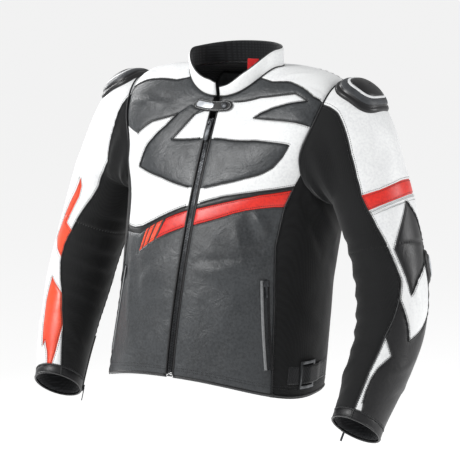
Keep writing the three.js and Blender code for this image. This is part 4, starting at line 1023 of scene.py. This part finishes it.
GAP_LINE = [(float(girth_at(9, 0.5)), -0.1), (float(girth_at(9, 0.9)), 1.1), (-float(girth_at(9, 0.9)), 1.1),
            (-float(girth_at(9, 0.5)), -0.1)]
torso_seams = [
    (WHITE_LOW_LEFT, False, True), (WHITE_LOW_RIGHT, False, True),
    ([*Z_LEFT, *Z_LOW[1:], *Z_TOP[1:], *Z_RIGHT[1:]], False, True),
    (list(reversed(DARK_RIGHT_LOW)), False, True),
    (WEDGE_LEFT, False, True), (YOKE_LEFT, False, True), (YOKE_RIGHT, False, True),
    (SIDE_FRONT, False, True), (other_side(SIDE_FRONT), False, True),
    (SIDE_BACK, False, True), (other_side(SIDE_BACK), False, True),
    (YOKE_BACK, False, True), (other_side(YOKE_BACK), False, True),
    (CENTRE_BACK, False, True), (other_side(CENTRE_BACK), False, True),
    ([(128, 0.38), (180, 0.38)], False, True), ([(-180, 0.38), (-128, 0.38)], False, True),
    (RED_TOP_LEFT, False, False), (RED_LOW_LEFT, False, False),
    ([(0, 0.432), (-14, 0.39), (-26, 0.3525)], False, False),
    ([(0, 0.382), (-13, 0.345), (-28, 0.30)], False, False),
]
CHEVRON_EDGE = [(-10.5, 0.545), (-21, 0.593), (-24, 0.633), (-1.5, 0.67), (25.5, 0.71), (39, 0.667),
                (54, 0.62)]
CUFF_WEDGE_EDGE = [(69, 0.715), (46.5, 0.758), (62, 0.802), (68, 0.838), (69, 0.875), (67, 0.92)]
near_holes = [[(90 + (u - 90) * 1.05, 0.59 + (v - 0.59) * 1.05) for u, v in ARMHOLE_LINE]]
near_holes.append(other_side(near_holes[0]))
everywhere = lambda flat: np.ones(len(flat), bool)
seam_work("torso", body, torso_seams, near_holes + [GAP_LINE], {"root": everywhere})
for side, arm in sleeves.items():
    seams = [(BACK_SEAM, False, True)]
    if side == "left":
        seams += [(FRONT_SEAM_LEFT, False, True), (RED_CUFF_BAND, True, False), (BAND_SEAM, False, False),
                  (DIAMOND, True, True), (CHEVRON_EDGE, False, True), (CUFF_WEDGE_EDGE, False, True)]
    else:
        seams += [(FRONT_SEAM_RIGHT, False, True), (CUP_SEAT, True, True), (RED_SPEAR, True, False),
                  (RED_FLAME, True, False)]
    seams.append(([(-160, CUFF_BAND), (200, CUFF_BAND)], False, True))
    seam_work(f"sleeve_{side}", arm, seams, [], {
        ("upper", side): lambda flat: flat[:, 1] < SPLIT, ("lower", side): lambda flat: flat[:, 1] >= SPLIT})
    ring = (np.arange(0, 360, 3.0) + 160) % 360 - 160
    line, out = arm.on_skin(level(ring, 0.006), 0.3)
    swept(f"armhole_piping_{side}", line, out, round_section(1.5), PIPING, "root", closed=True)
    line, out = arm.on_skin(level(ring, 0.996), -0.5)
    swept(f"cuff_binding_{side}", line, out, round_section(1.9), BLACK, f"lower_arm_{side}", closed=True)

# ---------------------------------------------------------------- linings, flap and armour
GAP_HALF = 24
gap_edge = float(girth_at(GAP_HALF, 0.5))
lining_cuts = [
    ("lining", [(-180, 0), (180, 0), (180, 1), (-180, 1)]),
    (None, ARMHOLE_LINE), (None, other_side(ARMHOLE_LINE)),
    (None, [(-gap_edge, -0.1), (gap_edge, -0.1), (gap_edge, 1.1), (-gap_edge, 1.1)]),
]
inner = Shell(torso, TORSO_SCALE, ((-180, 180), (0.012, 0.998)), lining_cuts, wraps=True, step=9.0)
soft_drift = creased([], TORSO_SCALE, 0.5)
inner.build(lambda flat, at: soft_drift(flat, at) - 0.5, lift=-1.7, full=-1.2, groove=0.0)
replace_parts(inner.part("lining_torso", "lining", LINING, "root", thick=0.8), "torso_lining")
for side, surface, outward in SLEEVES:
    for part, low, high in (("upper", 0.01, SPLIT), ("lower", SPLIT, 0.99)):
        made = slab(f"lining_sleeve_{part}_{side}", surface, lambda a, b: (360 * a, low + (high - low) * b),
                    60, 24, -2.6, -1.7, LINING, (part, side), wrapped=True, outward=outward)
        if part == "upper":
            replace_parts(made, f"sleeve_lining_{side}")
FLAP_TOP = -4.4


def flap_chart(a, b):
    """From 10 mm on the wearer's right of the centre front to 34 mm on the left."""
    x, v = 44 * a - 10, 0.012 + 0.848 * b
    return np.sign(x) * girth_at(x, v), v


wind_flap = slab("wind_flap_leather", torso, flap_chart, 12, 60, FLAP_TOP - 1.0, FLAP_TOP, BLACK, "root")
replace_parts(wind_flap, "wind_flap")


def pad(name, surface, chart, columns, rows, face, thickness, cells, rides, outward=1):
    """A foam pad with a thinned rim and a grid of moulded cells on its inner side."""
    rim = lambda a, b: smooth(np.minimum.reduce([a, 1 - a, b, 1 - b]) / 0.12)
    dimple = lambda a, b: 0.5 + 0.5 * np.cos(2 * math.pi * cells[0] * a) * np.cos(2 * math.pi * cells[1] * b)
    inner_face = lambda a, b: face - thickness * (0.35 + 0.65 * rim(a, b)) + 1.6 * dimple(a, b) * rim(a, b)
    return slab(name, surface, chart, columns, rows, inner_face, face, FOAM, rides,
                          outward=outward)


back_pad = pad("back_pad", torso, lambda a, b: (150 + 60 * a, 0.42 + 0.42 * b), 48, 60, -5.1, 12, (5, 8),
               "root")
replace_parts(back_pad, "back_protector")
for side, surface, outward in SLEEVES:
    shoulder_pad = pad(f"shoulder_pad_{side}", surface, lambda a, b: (-54 + 108 * a, 0.05 + 0.2 * b), 36, 30,
                       -2.8, 5, (5, 5), f"arm_{side}", outward)
    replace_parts(shoulder_pad, f"shoulder_armour_{side}")
    elbow_pad = pad(f"elbow_pad_{side}", surface, lambda a, b: (234 + 90 * a, 0.69 + 0.18 * b), 36, 30,
                    -2.8, 5, (5, 5), f"lower_arm_{side}", outward)
    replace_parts(elbow_pad, f"elbow_armour_{side}")

# ---------------------------------------------------------------- collar and hang loop
collar_edge = float(girth_at(3.6, 1))


def collar_top(a):
    """The wearer's left end rises in a curve; the other is nearly square."""
    left = 0.60 + 0.40 * smooth(a / 0.09)
    right = 0.86 + 0.14 * smooth((1 - a) / 0.02)
    return np.minimum(left, right)


def collar_chart(low):
    """The collar's chart from a low edge to its top edge."""
    return lambda a, b: (collar_edge + (360 - 2 * collar_edge) * a, low + (collar_top(a) - low) * b)


def end_ease(a):
    """0 at the collar's two ends and 1 between them."""
    return smooth(np.minimum(a, 1 - a) / 0.012)


def collar_out(a, b):
    """Outer height of the collar, thinned at its ends and its top edge."""
    bulge = 1.5 + 0.8 * np.sin(math.pi * np.clip(b, 0, 1))
    return 0.9 + bulge * end_ease(a) * smooth((1 - b) / 0.10 + 0.25)


collar_piece = slab("collar_leather", collar, collar_chart(0.03), 150, 12, 0.25, collar_out, WHITE, "root")
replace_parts(collar_piece, "collar")
collar_in = slab("collar_inside", collar, collar_chart(0.0), 120, 8, -1.5, lambda a, b: 0.15 - 0.3 * b,
                 LINING, "root")
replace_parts(collar_in, "collar_lining")
share = np.linspace(0, 1, 160)
girth = collar_edge + (360 - 2 * collar_edge) * share
edge_line = lifted(collar, girth, collar_top(share), -0.1)
swept("collar_binding", edge_line, np.tile((0.0, 0.0, 1.0), (len(share), 1)), round_section(1.3), PIPING,
      "root")
seam_line = lifted(torso, girth, np.full(len(share), 0.994), LEATHER + 0.7)
swept("neck_piping", seam_line, normals(torso, girth, np.full(len(share), 0.99)), round_section(1.1), PIPING,
      "root")

neck = torso(180.0, 1.0)
loop_low, loop_high, loop_y = -44.8 * MM, 5.0 * MM, float(neck[1]) - 2.8 * MM
turns = np.linspace(0, 2 * math.pi, 48, endpoint=False)
loop_depth = 1.75 * MM
loop = [(0.0, loop_y - 2.2 * MM + loop_depth * math.cos(t), float(neck[2]) + (loop_high + loop_low) / 2
         + (loop_high - loop_low) / 2 * float(signed_power(math.sin(t), 0.55))) for t in turns]
loop_out = [(0.0, math.cos(t), math.sin(t)) for t in turns]
loop_webbing = swept("hang_loop_webbing", loop, loop_out, strip_section(-11, 11, -0.6, 0.6), WEBBING, "root",
                     closed=True)
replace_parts(loop_webbing, "hang_loop")


# ---------------------------------------------------------------- zips
def arc_through(low, middle, high, count):
    """Points on the circle through three points."""
    low, middle, high = (np.reshape(point, 3) for point in (low, middle, high))
    a, b = np.asarray(middle) - low, np.asarray(high) - low
    flat = np.cross(a, b)
    size = 2 * flat @ flat
    centre = low + (np.cross(flat, a) * (b @ b) + np.cross(b, flat) * (a @ a)) / size
    start, end = low - centre, np.asarray(high) - centre
    angle = math.acos(np.clip(start @ end / np.linalg.norm(start) / np.linalg.norm(end), -1, 1))
    other = unit(end - start * (start @ end) / (start @ start)) * np.linalg.norm(start)
    t = np.linspace(0, angle, count)[:, None]
    return centre + start * np.cos(t) + other * np.sin(t)


def zip_run(name, line, out, reach, half, depth, tape_low, mat, rides):
    """A tape on each side and a closed chain of teeth between them."""
    out = np.broadcast_to(unit(np.asarray(out, float).reshape(-1, 3)), line.shape)
    tapes = [swept(f"{name}_tape_{k}", line, out, strip_section(*edges, tape_low, tape_low + 0.8), TAPE, None)
             for k, edges in enumerate(((reach + 0.2, half), (-half, -reach - 0.2)))]
    cords = [swept(f"{name}_cord_{k}", line, out, np.add(round_section(0.9, sides=6), (x, tape_low + 0.6)),
                   TAPE, None)
             for k, x in enumerate((reach + 0.8, -reach - 0.8))]
    tape = settled(merged(f"{name}_tape", tapes + cords), rides)
    teeth = grown(f"{name}_teeth", TEETH, [(line + out * (tape_low + depth / 2) * MM, out)],
                  {"Reach": (reach - 0.3) * MM, "Depth": depth * MM}, mat, rides)
    return tape, teeth


heights = np.linspace(-477, -66, 90)
front_line = np.stack([np.zeros_like(heights),
                       FRONT_CENTRE[0] - np.sqrt(FRONT_RADIUS**2 - (heights - FRONT_CENTRE[1]) ** 2),
                       heights], -1) * MM
front_out = np.stack([np.zeros_like(heights), front_line[:, 1] / MM - FRONT_CENTRE[0],
                      heights - FRONT_CENTRE[1]], -1)
tape, teeth = zip_run("front_zip", front_line, front_out, 3.2, 14, 2.4, -1.5, METAL, "root")
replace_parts(tape, "front_zip_tape_left", "front_zip_tape_right")
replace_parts(teeth, "front_zip_teeth_left", "front_zip_teeth_right")
facing_v = np.linspace(0.006, 0.99, 120)
for name, way in (("left", 1), ("right", -1)):
    at = girth_at(7.0, facing_v) * way
    line = lifted(torso, at, facing_v, LEATHER - 0.2)
    swept(f"zip_facing_{name}", line, normals(torso, at, facing_v), round_section(1.5, 0.8), BLACK, "root")

POCKET_LINE = [(53, 0.06), (48.8, 0.157), (45, 0.253)]
CUFF_LINE = [(222, 0.99), (222, 0.89), (222, 0.79)]
for side, way, surface, outward in (("left", 1, sleeve, 1), ("right", -1, right_sleeve, -1)):
    mirror = np.array([way, 1, 1])
    low, middle, high = (lifted(torso, u, v, LEATHER + 0.5) * mirror for u, v in POCKET_LINE)
    out = normals(torso, *POCKET_LINE[1]) * mirror
    line = arc_through(low, middle, high, 40)
    tape, teeth = zip_run(f"pocket_{side}", line, out, 2.5, 7, 1.6, 0.2, METAL, "root")
    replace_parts(tape, f"pocket_zip_{side}")
    welt = line + unit(np.cross(np.gradient(line, axis=0), out)) * (-6.2 * MM)
    if np.dot(welt[20] - line[20], [-way, 0, 0]) < 0:
        welt = 2 * line - welt
    swept(f"pocket_welt_{side}", welt + out * 0.9 * MM, np.broadcast_to(out, welt.shape),
          round_section(2.6, 0.42, 12), WELT, "root")
    low, middle, high = (lifted(surface, t, s, LEATHER + 0.7, outward) for t, s in CUFF_LINE)
    out = normals(surface, *CUFF_LINE[1], outward)
    tape, teeth = zip_run(f"cuff_{side}", arc_through(low, middle, high, 40), out, 2.5, 6, 1.6, 0.2, METAL,
                          f"lower_arm_{side}")
    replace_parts(tape, f"cuff_zip_{side}")
hem_back = torso(180.0, 0.0)
turns = np.linspace(-105 / 335, 105 / 335, 60)
joining = np.stack([335 * np.sin(turns), hem_back[1] / MM - 1.3 - 335 * (1 - np.cos(turns)),
                    np.full(60, hem_back[2] / MM + 12)], -1) * MM
joining_out = np.stack([-np.sin(turns), -np.cos(turns), np.zeros(60)], -1)
tape, teeth = zip_run("connecting", joining, joining_out, 2.5, 7, 1.6, 0.2, METAL, "root")
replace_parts(tape, "connecting_zip")


# ---------------------------------------------------------------- moulded and metal pieces
def eased(node, width, mat, body):
    """Puts a copy with its edges rounded over, to a width in millimetres, in place of a plain piece."""
    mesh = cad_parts[node].data.copy()
    mesh.name = f"{node}_eased"
    obj = bpy.data.objects.new(f"{node}_eased", mesh)
    bpy.context.scene.collection.objects.link(obj)
    weld = obj.modifiers.new("weld", "WELD")
    weld.merge_threshold = 0.00002
    flat = obj.modifiers.new("flat", "DECIMATE")
    flat.decimate_type = "DISSOLVE"
    flat.angle_limit = math.radians(1)
    round_over = obj.modifiers.new("round", "BEVEL")
    round_over.width = width * MM
    round_over.segments = 2
    round_over.limit_method = "ANGLE"
    round_over.angle_limit = math.radians(35)
    baked(obj)
    obj.data.materials.clear()
    obj.data.materials.append(mat)
    obj.data.polygons.foreach_set("use_smooth", [True] * len(obj.data.polygons))
    obj.data.polygons.foreach_set("material_index", [0] * len(obj.data.polygons))
    obj.data.set_sharp_from_angle(angle=math.radians(50))
    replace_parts(settled(obj, body), node)


for node, width, mat, ride_on in (
    ("front_zip_slider", 0.3, METAL, "slider_front"), ("front_zip_puller", 0.5, METAL, "puller_front"),
    ("front_zip_stop", 0.3, METAL, "root"), ("collar_tab_snap", 0.5, METAL, "tab"),
    ("collar_tab_stud", 0.4, METAL, "root"),
    ("connecting_slider", 0.25, METAL, "slider_connecting"),
    ("pocket_slider_left", 0.25, METAL, "slider_pocket_left"),
    ("pocket_slider_right", 0.25, METAL, "slider_pocket_right"),
    ("cuff_zip_slider_left", 0.25, METAL, "slider_cuff_left"),
    ("cuff_zip_slider_right", 0.25, METAL, "slider_cuff_right"),
    ("waist_ring_left", 0.6, STEEL, "strap_left"), ("waist_ring_right", 0.6, STEEL, "strap_right"),
):
    eased(node, width, mat, ride_on)

TAB = {"from": -17.0, "to": 15.0, "low": 0.893, "high": 0.958, "rise": 2.2, "thick": 1.8}


def tab_outline():
    """The tab's chart outline, with one round end and one cut end."""
    middle, half = (TAB["low"] + TAB["high"]) / 2, (TAB["high"] - TAB["low"]) / 2
    end = [(TAB["to"] - 6 + 6 * math.cos(t), middle + half * math.sin(t))
           for t in np.linspace(-math.pi / 2, math.pi / 2, 14)]
    back = [(TAB["from"] + 1.2, TAB["high"]), (TAB["from"], middle + half * 0.6),
            (TAB["from"], middle - half * 0.6), (TAB["from"] + 1.2, TAB["low"])]
    return end + back


def tab_lift(flat):
    """Height of the tab's face, rising over the first third from its cut end."""
    share = (flat[:, 0] - TAB["from"]) / (TAB["to"] - TAB["from"])
    return LEATHER + 0.4 + TAB["rise"] * smooth(share * 3) + TAB["thick"]


no_fold = lambda flat, at: np.zeros(len(flat))
tab = Shell(torso, TORSO_SCALE, ((-20, 18), (0.88, 0.97)), [("tab", tab_outline())], wraps=False, step=3.0)
tab.build(no_fold, lift=tab_lift, full=0.0, groove=0.5)
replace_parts(tab.part("collar_tab_leather", "tab", TAB_RUBBER, "tab", thick=1.5), "collar_tab")
badge_line = [(-13.5, 0.907), (-1.5, 0.907), (0.0, 0.916), (0.0, 0.935), (-1.5, 0.944), (-13.5, 0.944),
              (-14.8, 0.935), (-14.8, 0.916)]
badge = Shell(torso, TORSO_SCALE, ((-17, 1), (0.9, 0.95)), [("badge", badge_line)], wraps=False, step=3.0)
badge.build(no_fold, lift=lambda flat: tab_lift(flat) + 0.5, full=0.0, groove=0.25)
badge.part("collar_tab_badge", "badge", SILVER, "tab", thick=0.5)
inset = shared_out([((u + 1) * 0.90 - 1, 0.9255 + (v - 0.9255) * 0.80) for u, v in tab_outline()],
                   TORSO_SCALE, 2.0, True)
inset = np.vstack([inset, inset[:1]])
tab_row, tab_out = tab.on_skin(inset, 0.15)
grown("tab_stitches", STITCHES, [(tab_row, tab_out)], {"Pitch": 0.0032}, PALE_THREAD, "tab")

STRAP_SPAN = (66, 104)
RING_SEAT = LEATHER + 0.4 + 1.4 + 0.4


def strap_under(u):
    """Height of the strap's under side, raised where it passes over the ring's bar."""
    over_bar = RING_SEAT + 1.8 + 0.4
    rise = np.minimum(smooth((u - 77.5) / 6), 1 - smooth((u - 88.5) / 5))
    return LEATHER + 0.4 + (over_bar - LEATHER - 0.4) * rise


for side, way in (("left", 1), ("right", -1)):
    surface = torso if way == 1 else lambda u, v: torso(u, v) * np.array([-1, 1, 1])
    span = lambda a: STRAP_SPAN[0] + (STRAP_SPAN[1] - STRAP_SPAN[0]) * a
    under = lambda a, b: strap_under(span(a))
    over = lambda a, b: strap_under(span(a)) + 1.4 - 0.5 * (1 - smooth(np.minimum(b, 1 - b) / 0.08))
    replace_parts(slab(f"strap_{side}_webbing", surface, lambda a, b: (span(a), 0.031 + 0.038 * b), 80, 14,
                     under, over, STRAP, f"strap_{side}", outward=way), f"waist_strap_{side}")
    rows = []
    for v in (0.035, 0.065):
        a = np.linspace(0.02, 0.98, 60)
        line = lifted(surface, span(a), np.full(60, v), strap_under(span(a)) + 1.5, way)
        rows.append((line, normals(surface, span(a), np.full(60, v), way)))
    for u in (68, 69.5, 98, 101.5):
        v = np.linspace(0.035, 0.065, 10)
        line = lifted(surface, np.full(10, u), v, strap_under(np.full(10, u)) + 1.5, way)
        rows.append((line, normals(surface, np.full(10, float(u)), v, way)))
    grown(f"strap_{side}_stitches", STITCHES, rows, {}, THREAD, f"strap_{side}")

SEAT = LEATHER + 0.8


def dish(name, surface, centre, reach, r0, r1, top, bottom, mat, rides, outward=1, sides=72, rings=10,
         squareness=0.7):
    """A closed plate or ring over an oval; top and bottom give its heights at each share of the oval."""
    shares = np.linspace(r0, r1, rings + 1)
    turn = np.arange(sides) / sides * 2 * math.pi
    points = []
    for heights, order in ((top, shares), (bottom, shares)):
        r, t = np.meshgrid(order, turn, indexing="ij")
        p = centre[0] + reach[0] * signed_power(np.cos(t), squareness) * r
        q = centre[1] + reach[1] * signed_power(np.sin(t), squareness) * r
        points.append(lifted(surface, p, q, heights(r), outward).reshape(-1, 3))
    layer = (rings + 1) * sides
    at = lambda i, k, side: side * layer + i * sides + k % sides
    faces = []
    for k in range(sides):
        for i in range(rings):
            faces.append((at(i, k, 0), at(i, k + 1, 0), at(i + 1, k + 1, 0), at(i + 1, k, 0)))
            faces.append((at(i, k, 1), at(i + 1, k, 1), at(i + 1, k + 1, 1), at(i, k + 1, 1)))
        faces.append((at(rings, k, 0), at(rings, k + 1, 0), at(rings, k + 1, 1), at(rings, k, 1)))
        faces.append((at(0, k, 0), at(0, k, 1), at(0, k + 1, 1), at(0, k + 1, 0)))
    points = np.concatenate(points)
    return piece(name, points, outward_faces(points, faces), mat, rides)


SHOULDER_CUP = ((-3.0, 0.083), (33.0, 0.077))
ELBOW_CUP = ((325.0, 0.55), (22.0, 0.033))
for side, surface, outward in SLEEVES:
    arm = f"arm_{side}"
    crown = lambda r: SEAT + 3 + 8 * (1 - r**3)
    crown_step = lambda r: (crown(r) - 1.6 * smooth((r - 0.80) / 0.03) + 1.4 * smooth((r - 0.86) / 0.04)
                            - 2.2 * smooth((r - 0.95) / 0.05))
    base = dish(f"shoulder_cup_{side}_shell", surface, *SHOULDER_CUP, 0.02, 1.0, crown_step,
                lambda r: crown(r) - 3.2, SHELL, arm, outward, rings=44)
    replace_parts(base, f"shoulder_cup_{side}")
    sunk = lambda r: crown(r) - 0.6
    dish(f"shoulder_cup_{side}_ring", surface, *SHOULDER_CUP, 0.60, 0.80,
         lambda r: crown(r) + 0.9 - 14 * (r - 0.70) ** 2 * 6, sunk, RING_GREY, arm, outward)
    dish(f"shoulder_cup_{side}_line", surface, *SHOULDER_CUP, 0.53, 0.60,
         lambda r: crown(r) + 0.8, sunk, WHITE_LINE, arm, outward, rings=3)
    dish(f"shoulder_cup_{side}_plate", surface, *SHOULDER_CUP, 0.02, 0.51,
         lambda r: crown(r) + 0.9 * smooth((0.51 - r) / 0.06), sunk, SHELL, arm, outward, rings=16)
    low = lambda r: SEAT + 2 + 5 * (1 - r**3)
    elbow_step = lambda r: (low(r) - 1.2 * smooth((r - 0.66) / 0.04) + 1.0 * smooth((r - 0.76) / 0.05)
                            - 1.4 * smooth((r - 0.94) / 0.06))
    base = dish(f"elbow_cup_{side}_shell", surface, *ELBOW_CUP, 0.02, 1.0, elbow_step,
                lambda r: low(r) - 2.2, SHELL, arm, outward, rings=30)
    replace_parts(base, f"elbow_cup_{side}")
    dish(f"elbow_cup_{side}_plate", surface, *ELBOW_CUP, 0.02, 0.64,
         lambda r: low(r) + 0.7 * smooth((0.64 - r) / 0.08), lambda r: low(r) - 0.6, SILVER, arm, outward,
         rings=14)

# ---------------------------------------------------------------- hem
hem_girth = np.linspace(float(girth_at(8, 0)), 360 - float(girth_at(8, 0)), 300)
hem_turn = (hem_girth + 180) % 360 - 180
hem_line, hem_out = body.on_skin(level(hem_turn, 0.005), -0.4)
swept("hem_binding", hem_line, hem_out, round_section(1.8), BLACK, "root")
hem_rows = [body.on_skin(level(hem_turn, v), 0.1) for v in (0.02, 0.026)]
grown("hem_stitches", STITCHES, hem_rows, {}, THREAD, "root")

# ---------------------------------------------------------------- floor, light and camera
def aimed(obj, place, target):
    """Places an object so that it faces a target, and adds it to the scene."""
    obj.location = place
    obj.rotation_euler = (Vector(target) - Vector(place)).to_track_quat("-Z", "Y").to_euler()
    bpy.context.scene.collection.objects.link(obj)
    return obj


def lamp(name, place, target, size, power):
    """A white rectangular lamp; size in metres, power in watts."""
    light = bpy.data.lights.new(name, "AREA")
    light.shape = "RECTANGLE"
    light.size, light.size_y = size
    light.energy = power
    aimed(bpy.data.objects.new(name, light), place, target)


FLOOR_HEIGHT = -1.39                     # the jacket hangs at its wearer's shoulder height
FLOOR_REACH = 90
FLOOR_GLOW = 0.50
SKY_STRENGTH = 0.42
floor_mesh = bpy.data.meshes.new("floor")
floor_corners = [(FLOOR_REACH * x, FLOOR_REACH * y, FLOOR_HEIGHT)
                 for x, y in ((-1, -1), (1, -1), (1, 1), (-1, 1))]
floor_mesh.from_pydata(floor_corners, [], [(0, 1, 2, 3)])
floor_paint, floor_shader, _, _, _ = finish_of("floor_paint", (0.92, 0.92, 0.92), 0.95,
                                               Specular_IOR_Level=0.0)
floor_shader.inputs["Emission Color"].default_value = (1, 1, 1, 1)
floor_shader.inputs["Emission Strength"].default_value = FLOOR_GLOW
floor_mesh.materials.append(floor_paint)
floor = bpy.data.objects.new("floor", floor_mesh)
bpy.context.scene.collection.objects.link(floor)

sky = bpy.data.worlds.new("studio")
sky.use_nodes = True
sky.node_tree.nodes["Background"].inputs["Color"].default_value = (1, 1, 1, 1)
sky.node_tree.nodes["Background"].inputs["Strength"].default_value = SKY_STRENGTH
bpy.context.scene.world = sky
AIM = (0.004, -0.03, -0.262)
lamp("key", (-1.3, -2.4, 1.5), AIM, (1.0, 1.0), 68)
lamp("rim_left", (-2.2, 0.6, 0.7), AIM, (0.8, 1.6), 36)
lamp("rim_right", (2.3, 0.9, 0.5), AIM, (0.6, 1.6), 26)

camera = bpy.data.cameras.new("camera")
camera.lens = 139
camera.sensor_width = 36
CAMERA_PLACE = (1.525, -2.641, 0.235)
bpy.context.scene.camera = aimed(bpy.data.objects.new("camera", camera), CAMERA_PLACE, AIM)
bpy.context.scene.view_settings.view_transform = "Standard"

bpy.context.view_layer.update()
